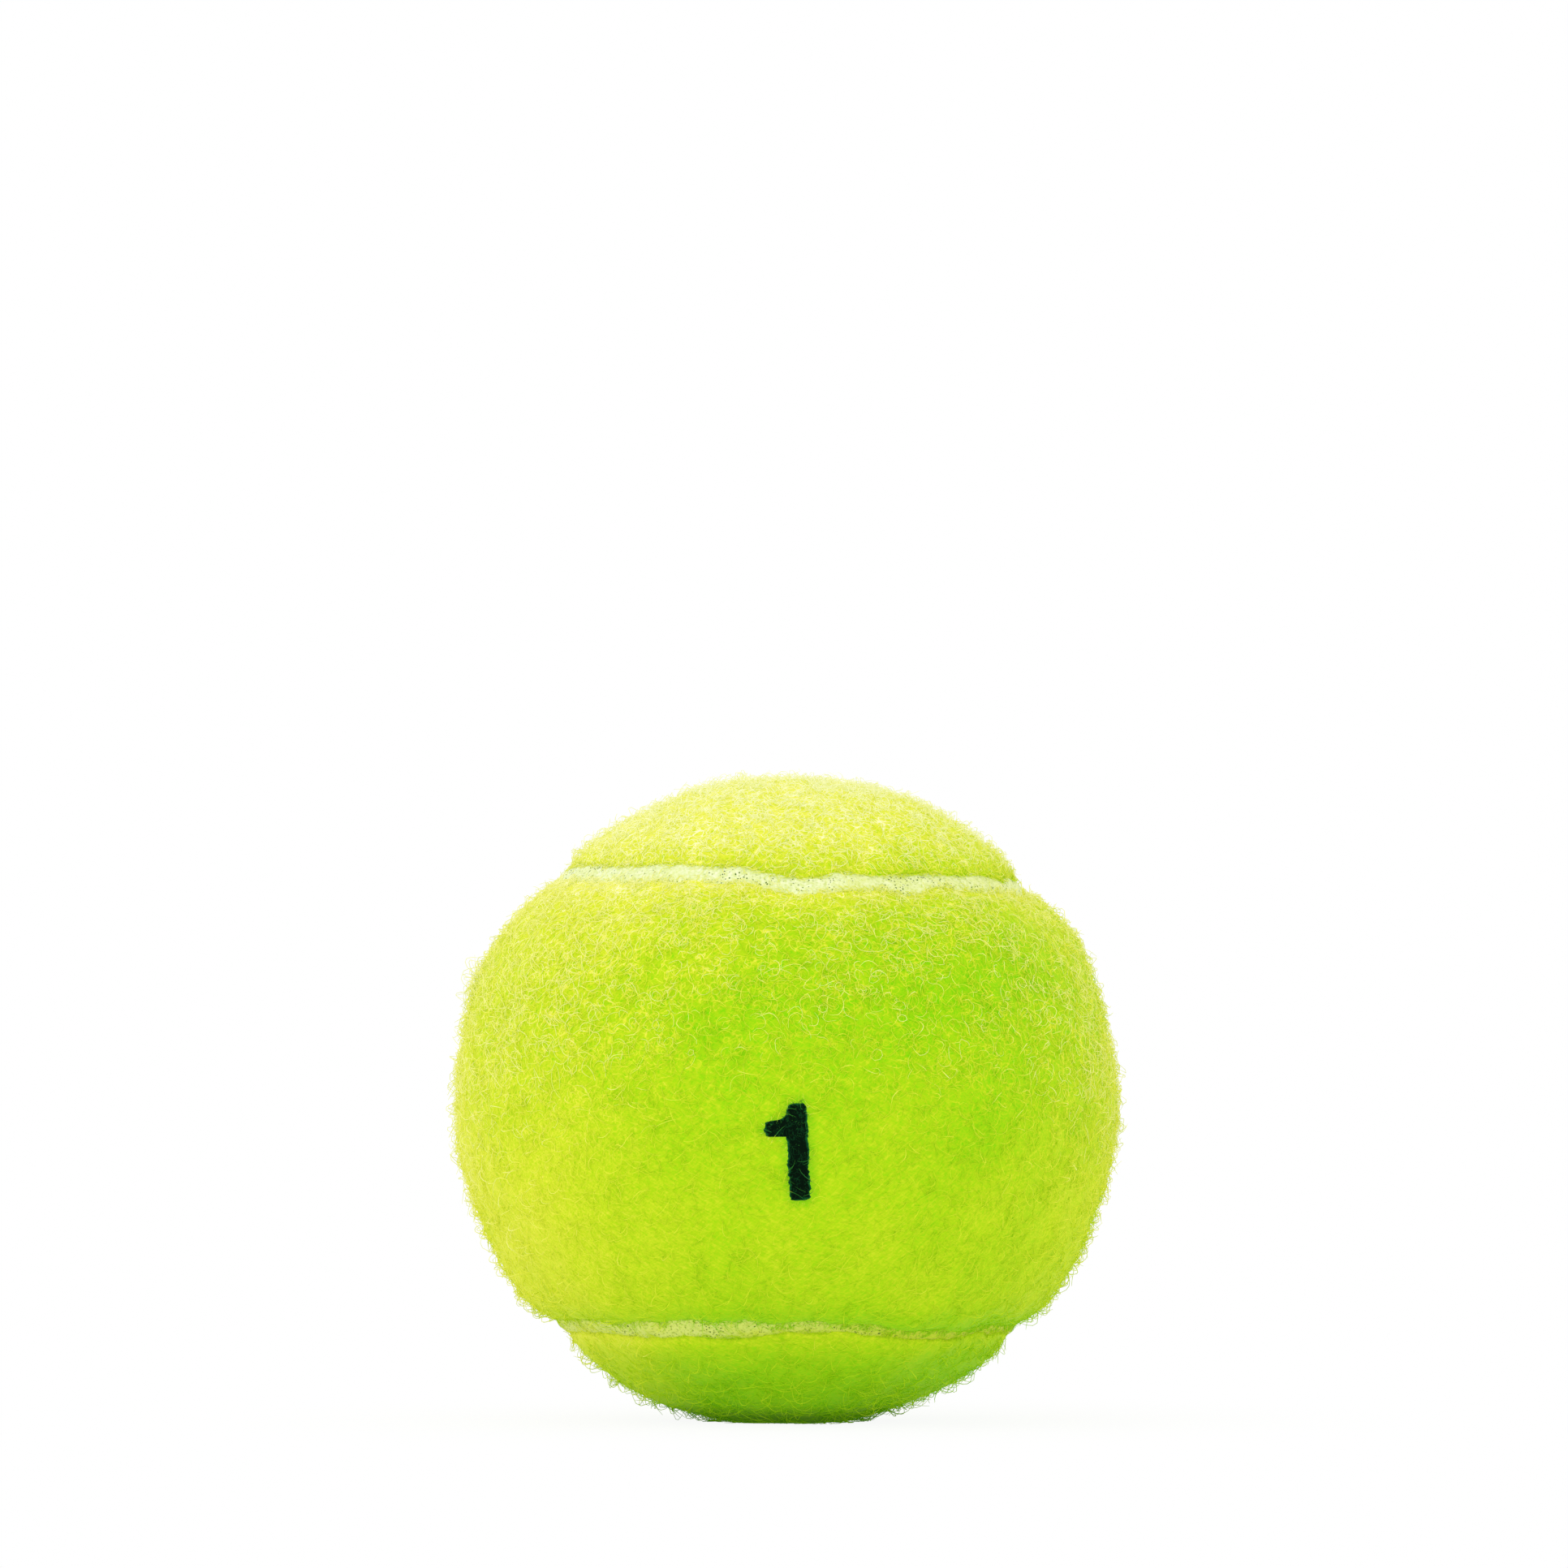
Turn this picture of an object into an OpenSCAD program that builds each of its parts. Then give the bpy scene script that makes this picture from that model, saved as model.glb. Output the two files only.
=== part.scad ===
// Tennis ball: two rubber half shells bonded into a hollow core, wrapped in two felt panels
// whose edges meet in one closed rubber seam.
//
// Millimetres, Z up, origin at the centre of the ball. The front panel's waist faces -Y and
// the back panel's waist faces +Y. Every layer is bonded face to face to the next one, so the
// radii below are worked inwards from the diameter over the nap.
//
// The seam is four half circles. The front two turn about Z and lie at 45 degrees above and
// below the waist, and the back two turn about X in the same way, so that each panel is one
// waist (a half turn about its own axis) and two lobes (half turns about the other axis).

/* [Ball] */
// Diameter over the felt nap
ball_d = 66.6; // [60:0.1:84]

/* [Core] */
// Wall of the two rubber half shells
core_wall = 3.3; // [2:0.1:5]
// Thickness of the bond between the half shells
bond_t = 0.2; // [0.1:0.02:0.5]
// How far the bond's squeezed-out bead stands into the hollow
bond_bead_r = 0.6; // [0.3:0.05:1.2]
// Thickness of the rubber cement brushed round the core
core_cement_t = 0.15; // [0.08:0.01:0.4]

/* [Felt] */
// Thickness of the cement on the back of each panel
panel_cement_t = 0.15; // [0.08:0.01:0.4]
// Thickness of the woven backing cloth
backing_t = 0.7; // [0.4:0.05:1.2]
// Depth of the raised nap on the backing
nap_t = 2.5; // [1.8:0.1:4]
// Radius of the nap's rounded shoulder along the seam
shoulder_r = 1.1; // [0.5:0.05:1.4]

/* [Seam] */
// Width of the seam that shows between the naps
seam_w = 2; // [1.2:0.1:3.2]
// Width of the seam's root between the backings
seam_root_w = 0.8; // [0.4:0.05:1.1]
// Depth of the seam's surface below the nap
seam_depth = 1.2; // [0.6:0.05:1.6]

/* [Number] */
// Height of the printed number
number_h = 9.5; // [7:0.1:12]
// Width of the number's upright stroke
number_stroke = 2; // [1.4:0.1:2.8]
// How far the number's flag reaches out beside the stroke
flag_reach = 2.2; // [1.4:0.1:3.2]
// Thickness of the flag at its tip
flag_t = 1.4; // [1:0.1:2.2]
// Drop from the number's top to the top of the flag's tip
flag_drop = 1.8; // [1:0.1:2.6]
// How far the number's top lies below the ball's centre
number_top_drop = 0.1; // [0:0.1:2]
// How far the ink soaks into the nap
ink_depth = 0.4; // [0.2:0.05:0.8]
// Angle by which the number leans to the left
number_lean = 2.5; // [0:0.5:6]

/* [Hidden] */
$fn = 96;

// Where the seam's four half circles lie, as the angle above and below each panel's waist
seam_angle = 45;

// Radii of the layers, from the outside in
nap_r = ball_d / 2;
backing_r = nap_r - nap_t;
panel_cement_r = backing_r - backing_t;
core_cement_r = panel_cement_r - panel_cement_t;
core_r = core_cement_r - core_cement_t;
hollow_r = core_r - core_wall;

// The seam: its surface, and the angles that its head and its root take up on either side
seam_r = nap_r - seam_depth;
head_half_angle = asin(seam_w / 2 / seam_r);
root_half_angle = asin(seam_root_w / 2 / backing_r);

// Where the panels' naps and backings end, as angles from the waist's middle
nap_edge = seam_angle - head_half_angle;
backing_edge = seam_angle - root_half_angle;

// The number's own frame: its width and how far its middle lies below the ball's centre
number_w = number_stroke + flag_reach;
number_mid_drop = number_top_drop + number_h / 2;
// How far the stroke's top is cut in where the flag sweeps up to it, as a share of its width
stroke_top_share = 0.17;
// Where the flag's upper edge bends up to the stroke, as shares of its reach and its drop
flag_bend_shares = [0.84, 0.78];
// Where that edge crosses the line of the stroke, as a share of the flag's drop
flag_root_share = 0.5;

// Cutters reach this share of the radius that they cut
reach_share = 1.5;

// A point at radius r and angle a
function polar(r, a) = r * [cos(a), sin(a)];

// Sections

// The slice of the plane between two angles, out past radius r
module wedge(r, low, high) {
    mid = (low + high) / 2;
    reach = r * reach_share;
    polygon([[0, 0], polar(reach, low), polar(reach, mid), polar(reach, high)]);
}

// The part of the section right of the axis, where a revolve can use it
module right_half(r) {
    reach = r * reach_share;
    intersection() {
        children();
        translate([0, -reach]) square([reach, 2 * reach]);
    }
}

// A ring between two radii
module ring(inner_r, outer_r) {
    difference() {
        circle(outer_r);
        circle(inner_r);
    }
}

// A layer's section across a panel's waist: a ring between two radii, within edge of the waist
module layer_section(inner_r, outer_r, edge) {
    intersection() {
        ring(inner_r, outer_r);
        wedge(outer_r, -edge, edge);
    }
}

// The nap's section: the same, with a round shoulder at each edge
module nap_section() {
    // The shoulder's centre lies one shoulder radius inside the nap and inside its edge
    centre_r = nap_r - shoulder_r;
    back_angle = asin(shoulder_r / centre_r);
    touch_r = sqrt(centre_r * centre_r - shoulder_r * shoulder_r);
    crown_edge = nap_edge - back_angle;
    difference() {
        union() {
            intersection() {
                circle(nap_r);
                wedge(nap_r, -crown_edge, crown_edge);
            }
            for (side = [-1, 1]) {
                polygon([
                    [0, 0],
                    polar(touch_r, side * nap_edge),
                    polar(centre_r, side * crown_edge)
                ]);
                translate(polar(centre_r, side * crown_edge)) circle(shoulder_r);
            }
        }
        circle(backing_r);
    }
}

// The seam's section on its own ray: a narrow root between the backings and a wider head
module seam_section() {
    intersection() {
        ring(core_cement_r, backing_r);
        wedge(backing_r, seam_angle - root_half_angle, seam_angle + root_half_angle);
    }
    intersection() {
        ring(backing_r, seam_r);
        wedge(seam_r, seam_angle - head_half_angle, seam_angle + head_half_angle);
    }
}

// Sweeps

// A half turn about Z on the side that faces -Y
module front_half_turn() {
    rotate([0, 0, 180]) rotate_extrude(angle = 180) children();
}

// Half turns about +X and -X on the side that faces +Y
module back_half_turns() {
    for (side = [-1, 1])
        rotate([0, side * 90, 0]) rotate_extrude(angle = 180) children();
}

// The front panel's shape from a section across its waist
module front_panel(r) {
    front_half_turn() children();
    back_half_turns() right_half(r) rotate(90) children();
}

// The back panel is the front one turned over, which swaps X with Z and front with back
module turned_over() {
    rotate(180, [1, 0, 1]) children();
}

// Core

module core_half() {
    rotate_extrude()
        intersection() {
            ring(hollow_r, core_r);
            translate([0, bond_t / 2]) square([core_r, core_r]);
        }
}

module core_half_upper() {
    color([0.32, 0.31, 0.30]) core_half();
}

module core_half_lower() {
    color([0.32, 0.31, 0.30]) mirror([0, 0, 1]) core_half();
}

// The bond fills the gap between the rims and stands into the hollow as a small round bead
module core_bond() {
    color([0.78, 0.66, 0.42]) rotate_extrude() {
        intersection() {
            ring(hollow_r, core_r);
            translate([0, -bond_t / 2]) square([core_r, bond_t]);
        }
        intersection() {
            circle(hollow_r);
            translate([hollow_r, 0]) circle(bond_bead_r);
        }
    }
}

module core_cement() {
    color([0.72, 0.64, 0.48])
        difference() {
            sphere(core_cement_r);
            sphere(core_r);
        }
}

// Felt panels

module panel_cement() {
    front_panel(panel_cement_r) layer_section(core_cement_r, panel_cement_r, backing_edge);
}

module panel_cement_front() {
    color([0.80, 0.74, 0.60]) panel_cement();
}

module panel_cement_back() {
    color([0.80, 0.74, 0.60]) turned_over() panel_cement();
}

module felt_backing() {
    front_panel(backing_r) layer_section(panel_cement_r, backing_r, backing_edge);
}

module felt_backing_front() {
    color([0.86, 0.88, 0.70]) felt_backing();
}

module felt_backing_back() {
    color([0.86, 0.88, 0.70]) turned_over() felt_backing();
}

module felt_nap() {
    front_panel(nap_r) nap_section();
}

module felt_nap_front() {
    color([0.78, 0.90, 0.12])
        difference() {
            felt_nap();
            number_prism();
        }
}

module felt_nap_back() {
    color([0.78, 0.90, 0.12]) turned_over() felt_nap();
}

module seam_rubber() {
    color([0.89, 0.93, 0.68]) {
        front_half_turn() {
            seam_section();
            mirror([0, 1]) seam_section();
        }
        back_half_turns() seam_section();
    }
}

// Number

// A plain figure one: an upright stroke with a flag on its left
module number_outline() {
    stroke_left = number_w / 2 - number_stroke;
    stroke_right = number_w / 2;
    tip = -number_w / 2;
    top = number_h / 2;
    flag_top = top - flag_drop;
    polygon([
        [stroke_left + number_stroke * stroke_top_share, top],
        [stroke_right, top],
        [stroke_right, -top],
        [stroke_left, -top],
        [stroke_left, flag_top - flag_t],
        [tip, flag_top - flag_t],
        [tip, flag_top],
        [tip + flag_reach * flag_bend_shares[0], top - flag_drop * flag_bend_shares[1]],
        [stroke_left, top - flag_drop * flag_root_share]
    ]);
}

// The number's outline carried outwards through the nap, from the depth that the ink reaches
module number_prism() {
    difference() {
        translate([0, 0, -number_mid_drop])
            rotate([90, 0, 0])
                linear_extrude(nap_r * reach_share)
                    rotate(number_lean) number_outline();
        sphere(nap_r - ink_depth);
    }
}

module ball_number() {
    color([0.02, 0.20, 0.11])
        intersection() {
            number_prism();
            sphere(nap_r);
        }
}

core_half_lower();
core_half_upper();
core_bond();
core_cement();
panel_cement_front();
panel_cement_back();
felt_backing_front();
felt_backing_back();
felt_nap_front();
felt_nap_back();
seam_rubber();
ball_number();
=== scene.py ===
# %% [markdown]
# # Dressing a tennis ball
# The frame holds the ball as a builder would section it: two rubber half shells, cement, woven
# backing, raised nap, the rubber of the seam and the printed number, all as plain solids at their
# real size. What makes it look like a ball that was handled is the nap: thousands of curled
# fibres, two panels that never meet quite evenly, and a seam of cured latex between them.
# Every new piece below is worked out from the frame's own radii.

# %% Load the frame
import math
import bpy
import numpy as np
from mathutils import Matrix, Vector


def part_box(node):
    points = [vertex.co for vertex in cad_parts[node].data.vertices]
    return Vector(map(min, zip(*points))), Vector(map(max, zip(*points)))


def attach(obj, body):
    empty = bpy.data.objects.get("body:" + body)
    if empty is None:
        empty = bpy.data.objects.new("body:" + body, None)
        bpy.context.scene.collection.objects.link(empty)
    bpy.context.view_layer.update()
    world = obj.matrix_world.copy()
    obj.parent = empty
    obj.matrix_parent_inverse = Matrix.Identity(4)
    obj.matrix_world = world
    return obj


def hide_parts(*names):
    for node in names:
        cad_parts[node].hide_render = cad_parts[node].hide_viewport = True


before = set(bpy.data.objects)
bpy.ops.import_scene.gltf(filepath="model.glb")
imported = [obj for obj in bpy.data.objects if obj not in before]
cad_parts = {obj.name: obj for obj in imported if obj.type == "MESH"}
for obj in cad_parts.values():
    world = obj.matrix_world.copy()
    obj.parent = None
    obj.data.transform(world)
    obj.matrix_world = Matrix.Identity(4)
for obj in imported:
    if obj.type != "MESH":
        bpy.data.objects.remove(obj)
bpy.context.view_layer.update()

# %% [markdown]
# ## Camera
# The ball was photographed from about its own height with a long lens, and it fills less than half
# of the frame. A lens of 225 mm at about a metre gives the same nearly parallel view. The ball
# lies below the picture's middle, so the camera is tilted up instead of shifting the lens.

# %% Aim the camera
MM = 0.001
picture_px = 1932
ball_radius_px = 403
ball_centre_px = (969.9, 1356.0)
sensor_mm = 36
lens_mm = 225
camera_height_deg = 0.4

focal_px = lens_mm / sensor_mm * picture_px
ball_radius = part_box("felt_nap_front")[1].x
camera_reach = ball_radius * focal_px / ball_radius_px
camera_height = math.radians(camera_height_deg)
tilt_up = math.atan((ball_centre_px[1] - picture_px / 2) / focal_px)
turn_left = math.atan((ball_centre_px[0] - picture_px / 2) / focal_px)


def new_object(name, data):
    """An object that holds the data, linked into the scene."""
    made = bpy.data.objects.new(name, data)
    bpy.context.scene.collection.objects.link(made)
    return made


camera_data = bpy.data.cameras.new("camera")
camera_data.lens = lens_mm
camera_data.sensor_width = sensor_mm
camera = new_object("camera", camera_data)
camera.location = (0, -camera_reach * math.cos(camera_height), camera_reach * math.sin(camera_height))
camera.rotation_euler = (math.pi / 2 - camera_height + tilt_up, 0, turn_left)
bpy.context.scene.camera = camera
print(f"camera {camera_reach * 1000:.0f} mm away, tilted up {math.degrees(tilt_up):.2f} degrees")

# %% [markdown]
# ## Radii of the layers
# The corners of a solid of revolution lie on its true surface, so the distance of a node's corners
# from the centre gives the radii of its layer. Shapes are worked out in millimetres from here on,
# and become metres when a mesh is made.

# %% Measure the layers
def mesh_corners(mesh):
    """The corners of a mesh, one row for each, in metres."""
    corners = np.empty(len(mesh.vertices) * 3)
    mesh.vertices.foreach_get("co", corners)
    return corners.reshape(-1, 3)


def layer_radii(node):
    """The smallest and largest distance of a node's corners from the centre, in millimetres."""
    reach = np.linalg.norm(mesh_corners(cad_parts[node].data), axis=1) / MM
    return reach.min(), reach.max()


backing_r, nap_r = layer_radii("felt_nap_back")
seam_root_r, seam_r = layer_radii("seam_rubber")
print(f"nap {backing_r:.2f} to {nap_r:.2f}, seam {seam_root_r:.2f} to {seam_r:.2f}")

# %% [markdown]
# ## The line of the seam
# The seam is one closed curve of four half circles: over the front, down the right of the back,
# back under the front and up the left of the back. A place on it is one number from 0 to 4.
# Two functions are enough for every piece that has to follow it: one gives the point at a place,
# and one gives the nearest place to any direction, with the angle by which that direction lies
# inside the front panel.

# %% Measure the seam
QUARTER = math.pi / 4
RISE = math.sin(QUARTER)
seam_length = 4 * math.pi * seam_r * RISE


def unit(vectors):
    """Each vector divided by its own length."""
    return vectors / np.linalg.norm(vectors, axis=-1, keepdims=True)


print(f"seam {seam_length:.0f} mm round")

# %% Give the point at a place on the seam
def seam_line(place):
    """The seam's unit direction at each place, and the unit direction across it, into the front panel.

    Each leg is a half circle at 45 degrees to its axis: the front legs turn about Z above and
    below the middle, and the back legs turn about X on the right and the left.
    """
    leg = np.floor(place).astype(int) % 4
    turn = (place - np.floor(place)) * math.pi
    cos, sin, zero = np.cos(turn), np.sin(turn), np.zeros_like(turn)
    level = np.full_like(turn, RISE)
    point = np.stack([
        np.choose(leg, [-RISE * cos, level, RISE * cos, -level]),
        np.choose(leg, [-RISE * sin, RISE * sin, -RISE * sin, RISE * sin]),
        np.choose(leg, [level, RISE * cos, -level, -RISE * cos]),
    ], axis=-1)
    along = np.stack([
        np.choose(leg, [sin, zero, -sin, zero]),
        np.choose(leg, [-cos, cos, -cos, cos]),
        np.choose(leg, [zero, -sin, zero, sin]),
    ], axis=-1)
    return point, np.cross(along, point)


print("the seam starts at", seam_line(np.array([0.0]))[0].round(2).tolist())

# %% Give the nearest place to a direction
def seam_place(way):
    """The nearest place on the seam to each unit direction, and the angle inside the front panel.

    On the front half the angle is 45 degrees less the latitude, and on the back half it is the
    tilt towards the X axis less 45 degrees; both are nought on the seam. Adding nought turns -0.0
    into 0.0, which arctan2 would otherwise take half a turn the wrong way.
    """
    x, y, z = np.moveaxis(way, -1, 0) + 0.0
    front_place = np.where(z >= 0, np.arctan2(-y, -x), 2 * math.pi + np.arctan2(-y, x))
    back_place = np.where(x >= 0, math.pi + np.arctan2(y, z), 3 * math.pi + np.arctan2(y, -z))
    on_front = y < 0
    inside = np.where(
        on_front,
        QUARTER - np.arcsin(np.clip(np.abs(z), 0, 1)),
        np.arcsin(np.clip(np.abs(x), 0, 1)) - QUARTER,
    )
    return np.where(on_front, front_place, back_place) / math.pi, inside


waist_inside = seam_place(np.array([0.0, -1.0, 0.0]))[1] * seam_r
print(f"the front waist's middle lies {waist_inside:.1f} mm inside the seam")

# %% [markdown]
# ## Unevenness
# Nothing on a felt ball is quite even. Sums of plane waves with random directions give a smooth
# unevenness in space that can be asked for at any point, so that skins and fibres agree on it.
# Along the seam the same idea uses whole numbers of waves, so that the ends meet. Both are seeded.

# %% Make smooth unevenness
def ripple(points, wavelength, seed, waves=40):
    """Smooth unevenness in space with a deviation of 1: a sum of plane waves near one wavelength."""
    rng = np.random.default_rng(seed)
    pitch = rng.uniform(0.7, 1.4, (waves, 1)) * 2 * math.pi / wavelength
    fronts = unit(rng.normal(size=(waves, 3))) * pitch
    phase = rng.uniform(0, 2 * math.pi, waves)
    return np.cos(points @ fronts.T + phase).sum(axis=-1) * math.sqrt(2 / waves)


def layered(points, sizes):
    """Several sizes of unevenness laid over each other, each a (depth, wavelength, seed)."""
    return sum(depth * ripple(points, wavelength, seed) for depth, wavelength, seed in sizes)


def wander(place, spacing, seed, waves=24):
    """The same along the closed seam: a sum of sines that each fit round it a whole number of times."""
    rng = np.random.default_rng(seed)
    whole = np.rint(seam_length / spacing * rng.uniform(0.6, 1.5, waves))
    phase = rng.uniform(0, 2 * math.pi, waves)
    return np.cos(place[..., None] * math.pi / 2 * whole + phase).sum(axis=-1) * math.sqrt(2 / waves)


def drawn(stops, softness):
    """A closed curve through a few (place, value) stops, its corners rounded by a bell of softness."""
    fine = np.linspace(0, 4, 4000, endpoint=False)
    raw = np.interp(fine, [place for place, _ in stops], [value for _, value in stops], period=4)
    bell = np.exp(-0.5 * (np.minimum(fine, 4 - fine) / softness) ** 2)
    round_off = np.fft.irfft(np.fft.rfft(raw) * np.fft.rfft(bell / bell.sum()), len(fine))
    return lambda place: np.interp(place, fine, round_off, period=4)


samples = unit(np.random.default_rng(1).normal(size=(2000, 3)))
print(f"deviation of a ripple over the ball {ripple(samples, 0.3, 1).std():.2f}")

# %% [markdown]
# ## Where the panels really meet
# The panels are laid on by hand, so the seam strays from its ideal circle by nearly two millimetres
# and changes its width. The front two legs follow what the photograph shows: the upper one dips
# sharply just right of the middle, and the lower one is wide on its left and almost covered by
# felt on its right. The back two, which the photograph doesn't show, stray less.

# %% Lay out the seam
# How far the seam strays towards the back panel, in millimetres, at places along it
stray_stops = [
    (0.0, 0.2), (0.14, 0.45), (0.34, 0.05), (0.45, -0.3), (0.51, -1.75), (0.56, -1.3), (0.63, -1.15),
    (0.72, -1.1), (0.84, -1.35), (0.95, -1.3), (1.2, 0.0), (1.6, 0.35), (2.15, 0.45), (2.3, 0.3),
    (2.37, -0.5), (2.5, -0.55), (2.57, -0.3), (2.63, -0.7), (2.73, -0.25), (2.85, -0.1), (3.2, 0.35),
    (3.6, -0.3),
]
# Width of rubber between the naps' rims, in millimetres; the fringe hides some of it on each side
width_stops = [
    (0.0, 2.15), (0.3, 2.25), (0.48, 2.05), (0.6, 2.35), (0.9, 2.3), (1.5, 2.1), (2.0, 1.5), (2.15, 1.2),
    (2.42, 1.25), (2.52, 1.85), (2.58, 2.55), (2.66, 2.05), (2.9, 2.05), (3.5, 2.3),
]
seam_stray = drawn(stray_stops, 0.014)
seam_width = drawn(width_stops, 0.02)
# Depth and spacing of the edges' raggedness, in millimetres
ragged_sizes = ((0.13, 7), (0.045, 2.2), (0.03, 0.7))
least_half_width = 0.25


def half_width(place, front):
    """Half the rubber's width on one panel's side: the drawn width with ragged edges of its own."""
    first_seed = 11 if front else 12
    ragged = sum(
        depth * wander(place, spacing, first_seed + 10 * number)
        for number, (depth, spacing) in enumerate(ragged_sizes)
    )
    return np.maximum(seam_width(place) / 2 + ragged, least_half_width)


places = np.linspace(0, 4, 2000)
widths = half_width(places, True) + half_width(places, False)
print(f"rubber {widths.min():.2f} to {widths.max():.2f} mm wide")

# %% [markdown]
# ## The nap's outer surface
# The nap swells over its crown and rolls down at its edge to the rubber. As a function of a
# direction alone, its radius is the crown's radius less a drop near the edge. The crown varies by
# tenths of a millimetre, and in the photograph the front panel stands prouder than the other. Its
# nap is fluffed up high on the ball and matted below its middle. Where the ball stands, its weight
# presses the nap flat and pushes it out round the flat.

# %% Shape the crown
skin_depth = 0.42
nap_pressed = 0.8
floor_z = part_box("felt_nap_back")[0].z / MM + nap_pressed
front_proud = 0.56
back_proud = -0.15
right_pressed = 0.15
foot_proud = 0.15
foot_swell = 0.5
# Depth in millimetres, wavelength as a share of the ball's radius, and seed
crown_sizes = ((0.14, 0.55, 31), (0.045, 0.16, 32))


def smooth_step(value, low, high):
    """0 below low, 1 above high, and between them the curve 3t^2 - 2t^3; low may be above high."""
    share = np.clip((value - low) / (high - low), 0, 1)
    return share**2 * (3 - 2 * share)


def fluffed(way):
    """How fluffed up the nap is in a direction: 1 high on the ball, 0 low on it, more at its sides."""
    return smooth_step(way[..., 2] + 0.3 * way[..., 0] ** 2, -0.25, 0.5)


def crown_radius(way, front):
    """Radius of the nap's crown in a direction, before its edge rolls down."""
    x, z = way[..., 0], way[..., 2]
    waist = front_proud - right_pressed * smooth_step(x, 0.5, 0.95)
    lobe = back_proud + foot_proud * smooth_step(z, -0.5, -0.8)
    proud = np.where(front, waist, lobe)
    swell = foot_swell * smooth_step(z, -0.8, -1.0) * (1 - 0.7 * smooth_step(x, 0.05, 0.3))
    return nap_r + proud + swell + layered(way, crown_sizes) - skin_depth


for panel_name, proud in (("front", front_proud), ("back", back_proud)):
    print(f"{panel_name} crown at {nap_r + proud - skin_depth:.2f} mm")

# %% [markdown]
# The edge's drop starts as a gentle slope on the front panel and ends as a quarter ellipse on both.
# In the photograph the front panel slopes long to the upper seam but turns short at the lower one,
# so the width and the drop of its shoulder change along the seam. With the distance from the edge
# they give the surface in any direction, which the skins and the fibres both ask for.

# %% Roll the edges down
shoulder_widths = [(0.0, 11), (1.0, 8), (1.4, 6), (1.8, 6), (2.0, 4), (3.0, 4), (3.4, 6)]
shoulder_drops = [(0.0, 1.5), (1.0, 1.5), (1.4, 1.3), (1.8, 1.3), (2.0, 1.1), (3.0, 1.1), (3.4, 1.3)]
front_shoulder_width = drawn(shoulder_widths, 0.05)
front_shoulder_drop = drawn(shoulder_drops, 0.05)
back_shoulder_width = 2.4
back_shoulder_drop = 0.6


def shoulder(place, front):
    """Width and drop of a panel's rolled edge at a place along the seam."""
    width = np.where(front, front_shoulder_width(place), back_shoulder_width)
    drop = np.where(front, front_shoulder_drop(place), back_shoulder_drop)
    return width, drop


def roll_down(inside_mm, place, front):
    """How far the nap's surface lies below its crown at a distance inside the panel's edge."""
    width, drop = shoulder(place, front)
    lean = np.clip(1 - inside_mm / width, 0, 1)
    sloping = np.where(front, 0.6, 0.0)
    return drop * (sloping * lean**1.5 + (1 - sloping) * (1 - np.sqrt(1 - lean**2)))


def edge_distance(way):
    """How many millimetres each direction lies inside its own panel's edge, whether that panel is
    the front one, and the nearest place on the seam.
    """
    place, inside = seam_place(way)
    into_front = inside * seam_r + seam_stray(place)
    front = into_front > 0
    reach = np.where(front, half_width(place, True), half_width(place, False))
    return np.abs(into_front) - reach, front, place


def nap_surface(way):
    """Radius of the ball's surface in any direction: crown, rolled edge, or rubber between them."""
    inside, front, place = edge_distance(way)
    return crown_radius(way, front) - roll_down(inside, place, front)


def on_floor(points, clearance=0.0):
    """The same points with none below the surface that the ball stands on."""
    points[..., 2] = np.maximum(points[..., 2], floor_z + clearance)
    return points


print(f"floor at {floor_z:.2f} mm")

# %% [markdown]
# ## How pale the nap is
# Fluorescent dye makes felt green-yellow in its depth and much paler at the tips. How pale the
# nap looks by its place was read off the photograph as a handful of broad slopes, and most of them
# are painted light: a painted highlight up the ball and towards its left, and painted shade down
# at its foot. The rolled edges are painted paler where they face up and deeper where they face
# down, as painted light and shade. The skins and the fibres both ask this one function.

# %% Say how pale the nap is
plain_nap = 0.28


def paleness_and_painted_light(way):
    """Paleness of the nap in a direction, 0 in its green depth to 1 at its palest.

    Much of it is painted light. The slopes up the ball and to the left, a painted highlight, are
    laid over each other so that together they never pass 1; the rest is added: a little more at the
    far right, on both sides and below the middle, painted light; less at the foot and high on the
    right of the middle, painted shade; the turn of the rolled edge up or down, painted light and
    shade; and two sizes of clumps, which are the nap's own.
    """
    x, z = way[..., 0], way[..., 2]
    # Painted highlight up the ball and towards its left, where the light comes from
    left = 0.44 * smooth_step(x - 0.4 * np.maximum(z, 0), -0.15, -1.0)
    top = 0.84 * smooth_step(z, 0.22, 1.05)
    # Painted highlight at the far right and on both sides, painted shade high on the right and at the
    # foot
    right = 0.15 * smooth_step(x, 0.6, 0.95) - 0.07 * smooth_step(x, 0.1, 0.5) * smooth_step(z, 0.2, 0.5)
    rims = 0.1 * smooth_step(np.abs(x), 0.9, 1.0)
    low = 0.04 * smooth_step(z, -0.1, -0.45)
    foot = 0.125 * smooth_step(z, -0.6, -0.8) * (1 - 0.75 * smooth_step(x, -0.2, -0.5))
    inside, front, place = edge_distance(way)
    upward = seam_line(place)[1][..., 2] * np.where(front, -1, 1)
    # Painted light where a rolled edge faces up, painted shade where it faces down
    edge_light_and_shade = 0.13 * smooth_step(inside, 4.5, 0) * upward
    edge_light_and_shade = edge_light_and_shade + 0.08 * smooth_step(inside, 1.4, 0) * np.maximum(upward, 0)
    clumps = 0.016 * ripple(way, 0.3, 71) + 0.007 * ripple(way, 0.08, 72) * fluffed(way)
    slopes = plain_nap + (1 - plain_nap) * (1 - (1 - left) * (1 - top))
    return slopes + right + rims + low - foot + edge_light_and_shade + clumps


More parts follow.
